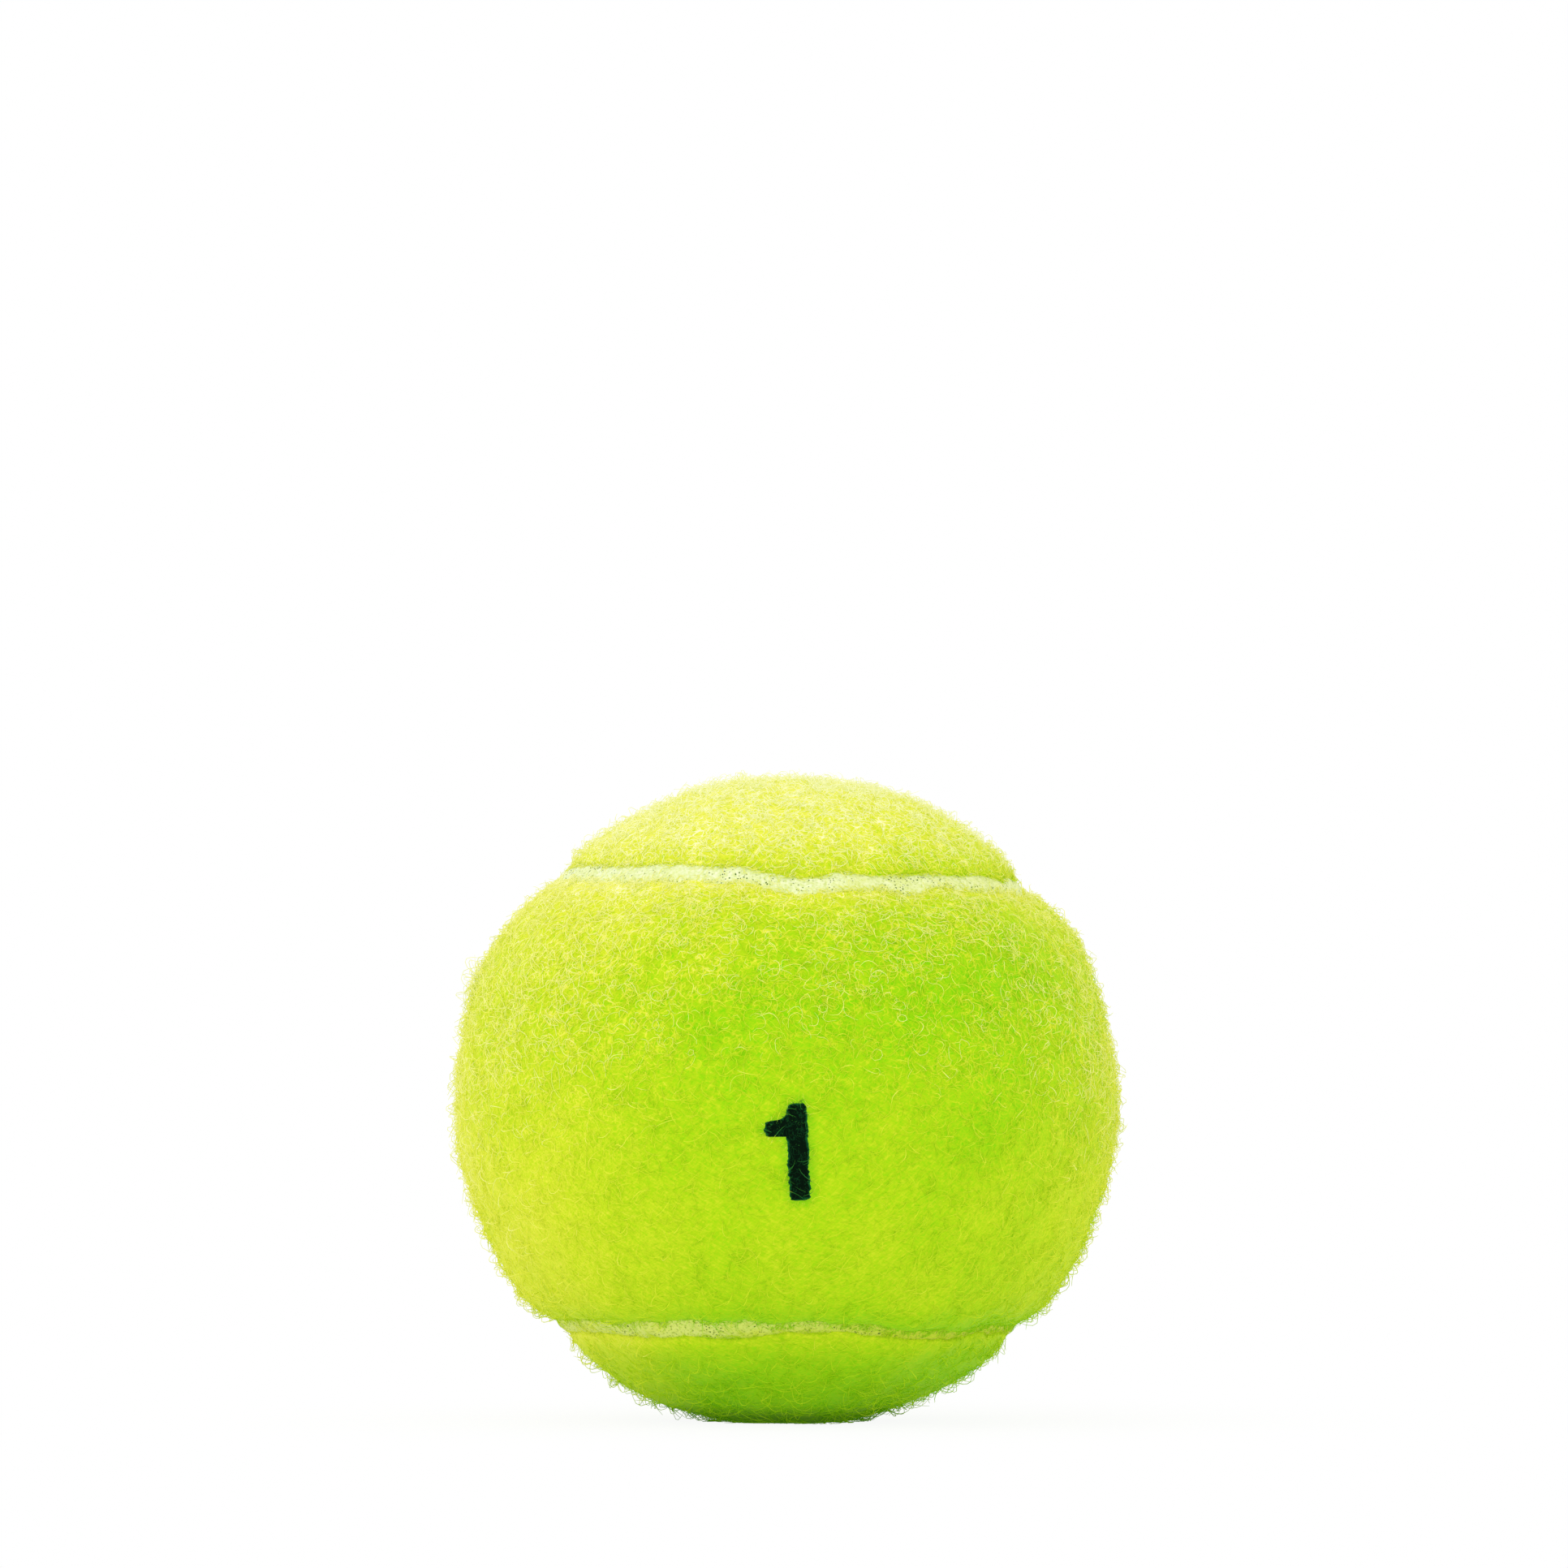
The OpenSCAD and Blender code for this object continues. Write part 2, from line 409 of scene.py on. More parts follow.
for spot, towards in (("cap", (0, -0.4, 0.92)), ("foot", (0, -0.6, -0.8))):
    print(f"paleness of the {spot} {paleness_and_painted_light(np.array(towards)):.2f}")

# %% [markdown]
# ## Making meshes
# Each surface is worked out as one array of points on a grid. Neighbouring grids share points at
# their borders and at their poles, so equal points are welded, and triangles that shrink to a line
# there are dropped. The sign of the enclosed volume tells whether the faces point outwards.

# %% Join points into closed meshes
def grid_faces(rows, columns, wrap_rows=False):
    """Triangles of a grid of points numbered row by row; wrap_rows joins the last row to the first."""
    row = np.arange(rows if wrap_rows else rows - 1)[:, None]
    column = np.arange(columns - 1)[None, :]
    below = (row + 1) % rows
    a, b = row * columns + column, row * columns + column + 1
    c, d = below * columns + column + 1, below * columns + column
    halves = [np.stack(corners, -1).reshape(-1, 3) for corners in ((a, b, c), (a, c, d))]
    return np.concatenate(halves)


def weld(points, faces, grain=1e-5):
    """Points that round to the same grain become one, and faces that lose a corner go."""
    grains = np.rint(points / grain).astype(np.int64)
    _, first, same = np.unique(grains, axis=0, return_index=True, return_inverse=True)
    faces = same.reshape(-1)[faces]
    whole = (faces[:, 0] != faces[:, 1]) & (faces[:, 1] != faces[:, 2]) & (faces[:, 2] != faces[:, 0])
    return points[first], faces[whole]


def face_outwards(points, faces):
    """The faces, turned over if the volume that they enclose comes out negative."""
    a, b, c = points[faces[:, 0]], points[faces[:, 1]], points[faces[:, 2]]
    volume = np.einsum("ij,ij->i", a, np.cross(b, c)).sum() / 6
    return faces if volume > 0 else faces[:, ::-1]


print(f"a grid of 3 by 3 points has {len(grid_faces(3, 3))} triangles")

# %% [markdown]
# A mesh takes its arrays in one go, which is much faster than corner by corner. Every piece rides on
# the ball, which is one rigid body, and says which of the frame's solids it stands for.

# %% Turn arrays into pieces
def make_piece(name, points, faces, stands_for=(), smooth=True):
    """A mesh from points in millimetres, riding on the ball and standing for its CAD solids."""
    mesh = bpy.data.meshes.new(name)
    mesh.vertices.add(len(points))
    mesh.vertices.foreach_set("co", (points * MM).astype(np.float32).ravel())
    mesh.loops.add(faces.size)
    mesh.loops.foreach_set("vertex_index", faces.astype(np.int32).ravel())
    mesh.polygons.add(len(faces))
    mesh.polygons.foreach_set("loop_start", np.arange(0, faces.size, 3, dtype=np.int32))
    mesh.polygons.foreach_set("use_smooth", np.full(len(faces), smooth))
    mesh.update(calc_edges=True)
    mesh.validate()
    piece = new_object(name, mesh)
    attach(piece, "root")
    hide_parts(*stands_for)
    print(f"{name}: {len(faces)} triangles")
    return piece


def add_values(piece, name, values):
    """A number for every point of the piece, which its material reads by name."""
    attribute = piece.data.attributes.new(name, "FLOAT", "POINT")
    attribute.data.foreach_set("value", values.astype(np.float32).ravel())


# %% [markdown]
# ## The felt panels
# A panel is shaped like a dumb-bell: a waist and two round lobes. Each half of it is a grid. One
# way runs along the panel's edge, and the other runs from the panel's spine straight to that edge,
# so the rolled shoulder follows the ragged seam without steps. Past the edge the grid goes down
# the side of the nap and back under it, which closes the panel. The back panel is the same shape
# turned over, and its unevenness is its own because it is asked for in the ball's directions.

# %% Lay directions over a panel
def panel_ways(share, arc, front, upper):
    """Directions in a panel's half: share runs along its edge, arc is the angle from its spine.

    On the front panel the first and last quarter fan out from the poles on the X axis, and the
    rest are meridians. The back panel has X and Z exchanged, and Y turned round.
    """
    left, right = share < 0.25, share > 0.75
    longitude = np.clip((share - 0.25) * 2, 0, 1) * math.pi
    fan = np.where(left, share, 1 - share) * 2 * math.pi
    cos, sin = np.cos(arc), np.sin(arc)
    lobe = left | right
    side = 1 if upper else -1
    x = np.where(lobe, np.where(left, -cos, cos), -cos * np.cos(longitude))
    y = np.where(lobe, sin * np.cos(fan), -cos * np.sin(longitude))
    z = np.where(lobe, sin * np.sin(fan), sin) * side
    return np.stack([x, y, z] if front else [z, -y, x], axis=-1)


for front in (True, False):
    middle = panel_ways(np.array(0.5), np.array(0.0), front, True)
    print("a waist's middle faces", middle.round(2).tolist())

# %% Build the two panels
skin_columns = 440
crown_rows = 24
shoulder_rows = 14
side_rows = 2
under_rows = 2


def panel_half(front, upper):
    """The grid of one half of a panel: crown, shoulder, side and underside, as points."""
    share = np.linspace(0, 1, skin_columns + 1)[None, :]
    edge_place, _ = seam_place(panel_ways(share, np.full_like(share, QUARTER), front, upper))
    outward = seam_stray(edge_place) * (1 if front else -1) - half_width(edge_place, front)
    wall = QUARTER + outward / seam_r
    width, _ = shoulder(edge_place, front)
    crown_share = np.linspace(0, 1, crown_rows)[:, None]
    crown = crown_share * (wall - width / seam_r)
    lean = np.linspace(0, math.pi / 2, shoulder_rows + 1)[1:, None]
    inside_mm = width * (1 - np.sin(lean))
    rolled = wall - inside_mm / seam_r
    side = np.repeat(wall, side_rows, axis=0)
    under = np.linspace(1, 0, under_rows + 1)[1:, None] * wall
    arcs = np.concatenate([crown, rolled, side, under])
    ways = panel_ways(np.broadcast_to(share, arcs.shape), arcs, front, upper)
    radius = crown_radius(ways, front)
    first_rolled, first_side = crown_rows, crown_rows + shoulder_rows
    first_under = first_side + side_rows
    radius[first_rolled:first_side] -= roll_down(inside_mm, edge_place, front)
    down = np.linspace(0, 1, side_rows + 1)[1:, None]
    edge_radius = radius[first_side - 1]
    radius[first_side:first_under] = edge_radius * (1 - down) + backing_r * down
    radius[first_under:] = backing_r
    return on_floor(ways * radius[..., None])


def felt_panel(name, front, node):
    """Both halves of a panel, welded along the spine and at the poles."""
    halves = [panel_half(front, upper) for upper in (True, False)]
    rows, columns, _ = halves[0].shape
    faces = grid_faces(rows, columns)
    flipped = faces[:, ::-1] + rows * columns
    points = np.concatenate([half.reshape(-1, 3) for half in halves])
    points, faces = weld(points, np.concatenate([faces, flipped]))
    return make_piece(name, points, face_outwards(points, faces), [node])


front_skin = felt_panel("felt_skin_front", True, "felt_nap_front")
back_skin = felt_panel("felt_skin_back", False, "felt_nap_back")

# %% [markdown]
# ## The rubber of the seam
# Latex fills the joint and sets with a skin that is a little proud in the middle, wrinkled and
# pitted. Its section is a wide head between the naps and a narrow root between the backings. The
# section is carried along the seam: the head follows the straying edges, and the root stays where
# the backings leave room for it.

# %% Draw the rubber's section
head_points = 13
rubber_proud = 0.25
below_rim = 0.05
tuck = 0.25
root_half = 0.38
above_backing = 0.05
# Depth, wavelength and seed, in millimetres
wrinkle_sizes = ((0.04, 1.6, 41), (0.03, 0.5, 42))


def rubber_section(place):
    """Points across the rubber at each place: distance towards the front panel, and radius.

    The head runs from just under one nap's rim to just under the other's, with a low crown and
    wrinkles; then the section goes down to the backing, in to the root, down, across and up again.
    """
    across = np.linspace(-1, 1, head_points)[:, None]
    toward_front = half_width(place, True) + tuck
    toward_back = half_width(place, False) + tuck
    head = np.where(across > 0, across * toward_front, across * toward_back) - seam_stray(place)
    point, over = seam_line(place)
    spots = point * seam_r + over * head[..., None]
    rims = [crown_radius(unit(spots), front) - shoulder(place, front)[1] for front in (False, True)]
    level_rim = rims[0] * (1 - across) / 2 + rims[1] * (1 + across) / 2 - below_rim
    crown = level_rim + (rubber_proud + layered(spots, wrinkle_sizes)) * (1 - across**2)
    level = np.ones_like(place)
    root = np.array([root_half, root_half, -root_half, -root_half])[:, None] * level
    depths = [above_backing + backing_r, backing_r, seam_root_r, seam_root_r, backing_r]
    below = np.array([*depths, above_backing + backing_r])[:, None] * level
    return np.concatenate([head, head[-1:], root, head[:1]]), np.concatenate([crown, below])


section = rubber_section(np.array([0.5]))[1]
print(f"{len(section)} points across the rubber, from {section.min():.1f} to {section.max():.1f} mm")

# %% Sweep the rubber
rubber_columns = 1400


def seam_rubber():
    """The section at every place, turned from its centre direction towards the panels and closed."""
    place = np.linspace(0, 4, rubber_columns + 1)
    sideways, radius = rubber_section(place)
    point, over = seam_line(place)
    turn = (sideways / seam_r)[..., None]
    points = on_floor((point * np.cos(turn) + over * np.sin(turn)) * radius[..., None])
    points[:, -1] = points[:, 0]
    points, faces = weld(points.reshape(-1, 3), grid_faces(*radius.shape, wrap_rows=True))
    return make_piece("seam_latex", points, face_outwards(points, faces), ["seam_rubber"])


latex = seam_rubber()

# %% [markdown]
# ## The printed number
# The number is a plain figure one, printed on the finished nap. Ink darkens the fibres, and leaves
# an edge as fuzzy as they are. One function tells how the stroke's left side runs, so that the
# figure is a single grid from its top to its foot, laid on the nap and wrapped round underneath.

# %% Lay out the number, in millimetres
number_height = 9.5
number_stroke = 2.0
flag_reach = 2.2
flag_thickness = 1.45
flag_drop = 1.7
number_top_drop = 0.1
number_lean = math.radians(2.5)
number_middle = -(number_top_drop + number_height / 2)

stroke_right = (number_stroke + flag_reach) / 2
stroke_left = stroke_right - number_stroke
flag_tip = -stroke_right
number_top = number_height / 2
flag_top = number_top - flag_drop
flag_foot = flag_top - flag_thickness
flag_step = 0.06
corner_round = 0.4

# The left side from the figure's foot to its top, as (height, side): the upright, the flag's tip,
# and the flag's hollow upper edge
left_stops = [
    (-number_top, stroke_left), (flag_foot - flag_step, stroke_left), (flag_foot, flag_tip),
    (flag_top, flag_tip), (flag_top + 0.25, stroke_left - 0.45), (flag_top + 0.7, stroke_left),
    (number_top, stroke_left + 0.25),
]


def rounding(up, low, high):
    """How far a side is drawn in at a height, so that its corners at low and high are round."""
    near = np.clip(corner_round - np.minimum(up - low, high - up), 0, corner_round)
    return corner_round - np.sqrt(corner_round**2 - near**2)


def left_side(up):
    """The figure's left side at each height, through its stops, with round corners."""
    heights, sides = zip(*left_stops)
    on_flag = (up >= flag_foot) & (up <= flag_top)
    rounded = np.where(on_flag, rounding(up, flag_foot, flag_top), rounding(up, -number_top, number_top))
    return np.interp(up, heights, sides) + rounded


def right_side(up):
    """The figure's right side at each height: the upright, round at both ends."""
    return stroke_right - rounding(up, -number_top, number_top)


print(f"figure {number_height} mm tall, {number_stroke + flag_reach:.1f} mm wide")

# %% [markdown]
# Skins and fibres both have to know where the ink is. A direction is turned into the number's own
# leaning frame and compared with the two sides there. The nap gives way under the stamp, so the
# print's edge strays a little, and some ink bleeds past it.

# %% Tell where the ink is
# Depth in millimetres, wavelength as a share of the ball's radius, and seed
print_sizes = ((0.05, 0.025, 51), (0.035, 0.011, 52))
ink_bleed = 0.9


def number_frame(way):
    """Sideways and upward distance of front-facing directions in the number's own leaning frame."""
    x, z = way[..., 0] * nap_r, way[..., 2] * nap_r - number_middle
    across = x * math.cos(number_lean) + z * math.sin(number_lean)
    up = z * math.cos(number_lean) - x * math.sin(number_lean)
    return across, up


def in_number(way, margin=0.0):
    """True where a direction falls on the inked figure, widened by a margin, on the ball's front."""
    across, up = number_frame(way)
    wobble = layered(way, print_sizes)
    across, up = across + wobble, up + wobble
    level = np.clip(up, -number_top, number_top)
    inside = (across > left_side(level) - margin) & (across < right_side(level) + margin)
    return inside & (np.abs(up) < number_top + margin) & (way[..., 1] < 0)


def ink_halo(way):
    """How much ink has bled into the nap near the figure: 1 on it, fading to 0 at the bleed's reach."""
    rings = [in_number(way, ink_bleed * share).astype(float) for share in (0.0, 0.25, 0.5, 0.75, 1.0)]
    return np.mean(rings, axis=0)


def border_share(way):
    """How near a direction lies to the figure's border: 1 on it and beyond, 0 from 0.16 mm inside."""
    return 1 - np.mean([in_number(way, -inset) for inset in (0.02, 0.06, 0.11, 0.16)], axis=0)


print(f"ink bleeds {ink_bleed} mm past the figure")

# %% Lay the ink on the nap
number_rows = 110
number_columns = 28
ink_thickness = 0.25
ink_lift = 0.05
rim_steepness = 12
patch_margin = 0.03


def number_way(across, up):
    """The front-facing direction at a sideways and upward distance in the number's own frame."""
    x = across * math.cos(number_lean) - up * math.sin(number_lean)
    z = across * math.sin(number_lean) + up * math.cos(number_lean) + number_middle
    return np.stack([x, -np.sqrt(nap_r**2 - x**2 - z**2), z], -1) / nap_r


def number_patch():
    """A grid from the figure's left side to its right, laid on the nap, and its copy underneath."""
    up = np.linspace(number_top, -number_top, number_rows)
    up = np.sort(np.concatenate([up, [flag_foot, flag_foot - flag_step]]))[::-1]
    left, right = left_side(up), right_side(up)
    left = left - layered(number_way(left, up), print_sizes) - patch_margin
    right = right - layered(number_way(right, up), print_sizes) + patch_margin
    over = np.linspace(0, 1, number_columns)[None, :]
    across = left[:, None] * (1 - over) + right[:, None] * over
    way = number_way(across, up[:, None] + 0 * over)
    skin = nap_surface(way)[..., None]
    lift = ink_lift * np.clip(np.minimum(over, 1 - over) * rim_steepness, 0, 1)[..., None]
    return way * (skin + lift), way * (skin - ink_thickness)


patch_top, patch_under = number_patch()
print(f"the patch is a grid of {patch_top.shape[0]} by {patch_top.shape[1]} points")

# %% Close the patch of ink
def close_sheet(top, under):
    """A sheet's upper and lower grids, joined round their border into one closed shell."""
    rows, columns, _ = top.shape
    count = rows * columns
    index = np.arange(count).reshape(rows, columns)
    border = np.concatenate([index[0, :-1], index[:-1, -1], index[-1, :0:-1], index[:0:-1, 0]])
    following = np.roll(border, -1)
    rim = [
        np.stack([following, border, border + count], -1),
        np.stack([following, border + count, following + count], -1),
    ]
    faces = grid_faces(rows, columns)
    points = np.concatenate([top.reshape(-1, 3), under.reshape(-1, 3)])
    return points, np.concatenate([faces, faces[:, ::-1] + count, *rim])


patch_points, patch_faces = weld(*close_sheet(patch_top, patch_under))
ink_patch = make_piece(
    "number_ink", patch_points, face_outwards(patch_points, patch_faces), ["ball_number"]
)
add_values(ink_patch, "border", border_share(unit(patch_points)))

# %% [markdown]
# ## Fibres
# The nap is wool and nylon, raised and tumbled until it curls. Hair particles would not leave the
# program as solid meshes, so each fibre here is a thin closed tube with three sides. A fibre
# walks over the ball: at every step it goes on along a great circle and turns a little, always to
# the same side, which makes the curls. Its height over the nap follows an arch, or climbs to a
# free tip. All fibres of a kind take the same step at once, as whole arrays.

# %% Walk the fibres
# Stroked nap draws a fibre's first heading its way, uncurls it and steadies its turns
combing = 1.1
uncurling = 0.7
steadying = 0.5
# Radians by which the turns at each step differ from fibre to fibre
turn_spread = 0.3


def random_ways(rng, count):
    """Directions spread evenly over the ball."""
    return unit(rng.normal(size=(count, 3)))


def stroked(way):
    """How strongly the nap is stroked flat at a direction, and the way it lies there.

    It lies most where it is matted and on the ball's left. It rises to the right at 45 degrees,
    and falls gently on the left.
    """
    x = way[..., :1]
    leftward = smooth_step(x, -0.3, -0.7)
    east = np.cross([0.0, 0.0, 1.0], way)
    north = np.cross(way, east)
    return np.maximum(1 - fluffed(way)[..., None], 0.7 * leftward), east + (1 - 1.45 * leftward) * north


def walk(rng, roots, rings, length, bend, pull):
    """Each fibre's directions from its root: steps along great circles that keep turning to one side.

    Where the nap is stroked flat, the fibres lie its way and turn less. pull is added to the heading
    that each of them starts with.
    """
    count = len(roots)
    step = (length / (rings - 1) / nap_r)[:, None]
    flat, lie = stroked(roots)
    lie = lie * rng.choice([-1, 1], (count, 1))
    heading = unit(unit(np.cross(roots, random_ways(rng, count))) + combing * flat * lie + pull)
    turning = (bend * length / (rings - 1))[:, None] * (1 - uncurling * flat)
    way, path = roots, [roots]
    for _ in range(rings - 1):
        turn = turning + rng.normal(0, turn_spread, (count, 1)) * (1 - steadying * flat)
        heading = heading * np.cos(turn) + np.cross(way, heading) * np.sin(turn)
        ahead = way * np.cos(step) + heading * np.sin(step)
        heading = heading * np.cos(step) - way * np.sin(step)
        way = ahead
        path.append(way)
    return np.stack(path, axis=1)


stroke = stroked(unit(np.array([[0.0, -1.0, -0.5]])))[0][0, 0]
print(f"the nap below the number is stroked flat by {stroke:.0%}")

# %% [markdown]
# Three sides are enough for a fibre less than a tenth of a millimetre thick. They are laid out from
# the direction away from the ball, so that the tube doesn't twist from one ring to the next.

# %% Give the paths their tubes
# Leans that direction over, because the product below vanishes where a fibre points along it
side_lean = 0.35


def tube_points(paths, width):
    """Three points round every ring of every path, at its width's distance from the path."""
    along = unit(np.gradient(paths, axis=1))
    leaning = side_lean * np.roll(unit(paths[:, :1]), 1, axis=-1)
    side = unit(np.cross(along, unit(paths) + leaning))
    over = np.cross(along, side)
    angle = np.arange(3) * 2 * math.pi / 3
    spokes = side[:, :, None] * np.cos(angle)[:, None] + over[:, :, None] * np.sin(angle)[:, None]
    return paths[:, :, None] + spokes * width[..., None, None]


def tube_faces(count, rings):
    """The triangles of one closed tube, repeated for every fibre."""
    ring = np.arange(rings - 1)[:, None] * 3
    corner = np.arange(3)[None, :]
    a, b = ring + corner, ring + (corner + 1) % 3
    halves = [np.stack(corners, -1).reshape(-1, 3) for corners in ((a, b, b + 3), (a, b + 3, a + 3))]
    sides = np.concatenate(halves)
    last = (rings - 1) * 3
    one = np.concatenate([sides, [[2, 1, 0], [last, last + 1, last + 2]]])
    return (np.arange(count)[:, None, None] * rings * 3 + one[None]).reshape(-1, 3)


print(f"a fibre of 5 rings has {len(tube_faces(1, 5))} triangles")

# %% [markdown]
# To paint each fibre's colour into a picture, tens of thousands of tubes would have to be
# unfolded, so every fibre gets its own small square of a map here, with its length running along
# the square.

# %% Unfold the fibres
tube_share = 0.7
tube_start = (1 - tube_share) / 2
cell_margin = 0.08
# One end's triangle at the left of the cell, as shares of its width and height
cap_corners = np.array([[0.03, 0.2], [0.1, 0.2], [0.06, 0.8]])
cap_apart = np.array([0.87, 0])


def unfold_fibres(piece, count, rings):
    """Gives each fibre one cell of a square map: rings run along the cell and sides run up it."""
    cells = math.ceil(math.sqrt(count))
    ring = np.arange(rings - 1)[:, None] + np.zeros(3)[None, :]
    side = np.zeros(rings - 1)[:, None] + np.arange(3)[None, :]

    def spots(*steps):
        """A corner of every face for each (forward, upward) step from its first corner."""
        places = [
            np.stack([tube_start + tube_share * (ring + forward) / (rings - 1), (side + upward) / 3], -1)
            for forward, upward in steps
        ]
        return np.stack(places, 2).reshape(-1, 2)

    sides = [spots((0, 0), (0, 1), (1, 1)), spots((0, 0), (1, 1), (1, 0))]
    one = np.concatenate([*sides, cap_corners, cap_corners + cap_apart])
    one = one * (1 - 2 * cell_margin) + cell_margin
    index = np.arange(count)
    corner = np.stack([index % cells, index // cells], -1)
    spread = (corner[:, None] + one[None]) / cells
    layer = piece.data.uv_layers.new(name="OFBake")
    layer.uv.foreach_set("vector", spread.astype(np.float32).ravel())


print(f"a fibre's map keeps {cell_margin:.0%} of its cell free on every side")

# %% [markdown]
# A kind of fibre is a handful of numbers: how long, how curled, how high, how thick and how pale.
# Roots come first, all over the ball, round one direction or along the seam. Those of felt fibres
# keep off the printed figure, which has strands of its own, and off the rubber, except in kinds
# that are made to reach over it.

# %% Sow the roots
# Millimetres inside the rubber's edge between which the seam's fibres are sown; below 0 is over it
seam_sowing = (-0.35, 0.7)
sown_per_fibre = 5
sown_per_inked = 70
spare_share = 1.6
root_inside = 0.1
inked_root_margin = 0.06


def ways_near(direction, spread):
    """A way to sow roots round one direction, with a spread in radians."""
    return lambda rng, count: unit(unit(np.array(direction)) + spread * random_ways(rng, count))


def ways_along_seam(rng, count):
    """Directions along both edges of the rubber, from a little over it to further inside the panel."""
    place = rng.uniform(0, 4, count)
    front = rng.random(count) < 0.5
    out = np.where(front, half_width(place, True), half_width(place, False))
    out = out + rng.uniform(*seam_sowing, count)
    turn = (np.where(front, out, -out) - seam_stray(place)) / seam_r
    point, over = seam_line(place)
    return point * np.cos(turn)[:, None] + over * np.sin(turn)[:, None]


def sow_roots(rng, count, sow, spread, panel, over_rubber, inked):
    """Directions of the roots: those on the right panel, thinned by spread, with some to spare."""
    sown = count * (sown_per_inked if inked else sown_per_fibre)
    roots = sow(rng, sown)
    inside, front, _ = edge_distance(roots)
    keep = inside > root_inside - 0.75 * over_rubber
    if panel is not None:
        keep &= front == panel
    if spread is not None:
        keep &= rng.random(sown) < spread(roots)
    keep &= in_number(roots, inked_root_margin) if inked else ~in_number(roots)
    return roots[keep][: int(count * spare_share)]


print(f"{sown_per_fibre} roots are tried for each fibre, and {sown_per_inked} for each inked one")

# %% [markdown]
# A fibre takes its paleness from the nap that it grows on, painted light and shade included, and is
# paler the higher it stands: partly its own paler tip and partly painted light on it. How much
# single fibres differ depends on the nap: little where it is matted. A fibre is inked where it runs
# over the number, and how far past the border its ink reaches is its own.

# %% Colour the fibres
paler_per_mm = 0.5
deeper_below = 0.06
palest = 0.86
matted_contrast = 0.35
paler_border = 0.6
ink_reach = (0.04, 0.18)
full_ink = 0.9


def fibre_values(rng, ways, climb, raised, pale, inked):
    """How pale and how inked each fibre is at every step of its way.

    climb is its height over the nap in millimetres, and raised how fluffed up the nap is at its root.
    """
    own = pale[0] + (pale[1] - pale[0]) * rng.random((len(ways), 1)) ** 2
    if inked:
        own = own + paler_border * border_share(ways)
    contrast = matted_contrast + (1 - matted_contrast) * raised
    # The place brings its painted light and shade; height adds paleness, partly painted light on tips
    shade = paleness_and_painted_light(ways) + (own - deeper_below) * contrast + paler_per_mm * contrast * climb
    # The palest fibres are allowed only high on the ball, as part of its painted highlight
    shade = np.minimum(shade, palest + (1 - palest) * smooth_step(ways[..., 2], 0.5, 1.0))
    dyed = in_number(ways, ink_reach[0] + (ink_reach[1] - ink_reach[0]) * rng.random((len(ways), 1)))
    return {"shade": shade, "ink": dyed * full_ink + ink_halo(ways) * (1 - full_ink)}


# %% [markdown]
# From its root a fibre is walked, lifted off the nap and given its thickness. Most of those that
# would cross too much rubber are dropped, and the rest climb over the rubber's crown.

# %% Grow one kind of fibre
crossing_share = 0.12
root_depth = 0.08
floor_clearance = 0.04
tip_thinning = 0.55


def over_the_edge(inside_mm):
    """How far a fibre climbs at a distance inside the panel's edge: first its rim, then the crown."""
    return 0.15 * smooth_step(inside_mm, 0.2, 0.0) + 0.16 * smooth_step(inside_mm, 0.0, -1.0)


def grow(
    name, seed, count, rings, length, curl, lift, width, pale, free=0.4, pressed=0.6,
    over_rubber=0.15, to_seam=0.0, sow=random_ways, spread=None, panel=None, inked=False,
):
    """One piece of fibres. length, curl (radius), lift and width are ranges in millimetres.

    free is the share with a free tip; pressed is how much lower they lie where the nap is matted;
    over_rubber is how far most of them may reach over the seam, and to_seam how strongly they head
    for it; sow gives the roots, and spread the share of them to keep; panel is True for the front,
    False for the back and None for both.
    """
    rng = np.random.default_rng(seed)
    roots = sow_roots(rng, count, sow, spread, panel, over_rubber, inked)
    found = len(roots)
    long = rng.uniform(*length, found)
    bend = rng.choice([-1, 1], found) / rng.uniform(*curl, found)
    _, front, place = edge_distance(roots)
    pull = to_seam * seam_line(place)[1] * np.where(front, -1, 1)[:, None]
    ways = walk(rng, roots, rings, long, bend, pull)
    edges = edge_distance(ways)[0]
    kept = (edges.min(axis=1) > -over_rubber) | (rng.random(found) < crossing_share)
    ways, edges = ways[kept][:count], edges[kept][:count]
    found = len(ways)

    along = np.linspace(0, 1, rings)[None, :]
    raised = fluffed(ways[:, :1])
    lifted = lift[0] + (lift[1] - lift[0]) * rng.random((found, 1)) ** 2
    height = lifted * (1 - pressed * (1 - raised))
    climb = height * np.where(rng.random((found, 1)) < free, along**0.8, np.sin(math.pi * along))
    radius = nap_surface(ways) - root_depth + climb + over_the_edge(edges)
    paths = on_floor(ways * radius[..., None], floor_clearance)
    thick = rng.uniform(*width, (found, 1)) / 2 * (1 - 0.5 * pressed * (1 - raised))
    points = tube_points(paths, thick * (1 - tip_thinning * along**2.5)).reshape(-1, 3)
    naps = ["felt_nap_front", "felt_nap_back"]
    replaced = ["ball_number"] if inked else {True: naps[:1], False: naps[1:], None: naps}[panel]
    piece = make_piece(name, points, tube_faces(found, rings), replaced, smooth=False)
    for value_name, values in fibre_values(rng, ways, climb, raised, pale, inked).items():
        add_values(piece, value_name, np.repeat(values, 3))
    unfold_fibres(piece, found, rings)
    return piece


print(f"a fibre that crosses the rubber climbs {over_the_edge(-1.0):.2f} mm")

# %% [markdown]
# The nap has several kinds. Fuzz covers everything, short and tightly curled. Clear pale curls lie
# over it, thickest high on the waist's right half and thin on the underside. Wisps stand off and
# show against the light at the outline, and so do small loops on the flanks below the middle. A
# fringe softens the edges of the seam, and a few strands stray right over the rubber. There is a
# tuft on the left, a ring of long loops round the foot, and inked strands on the number.

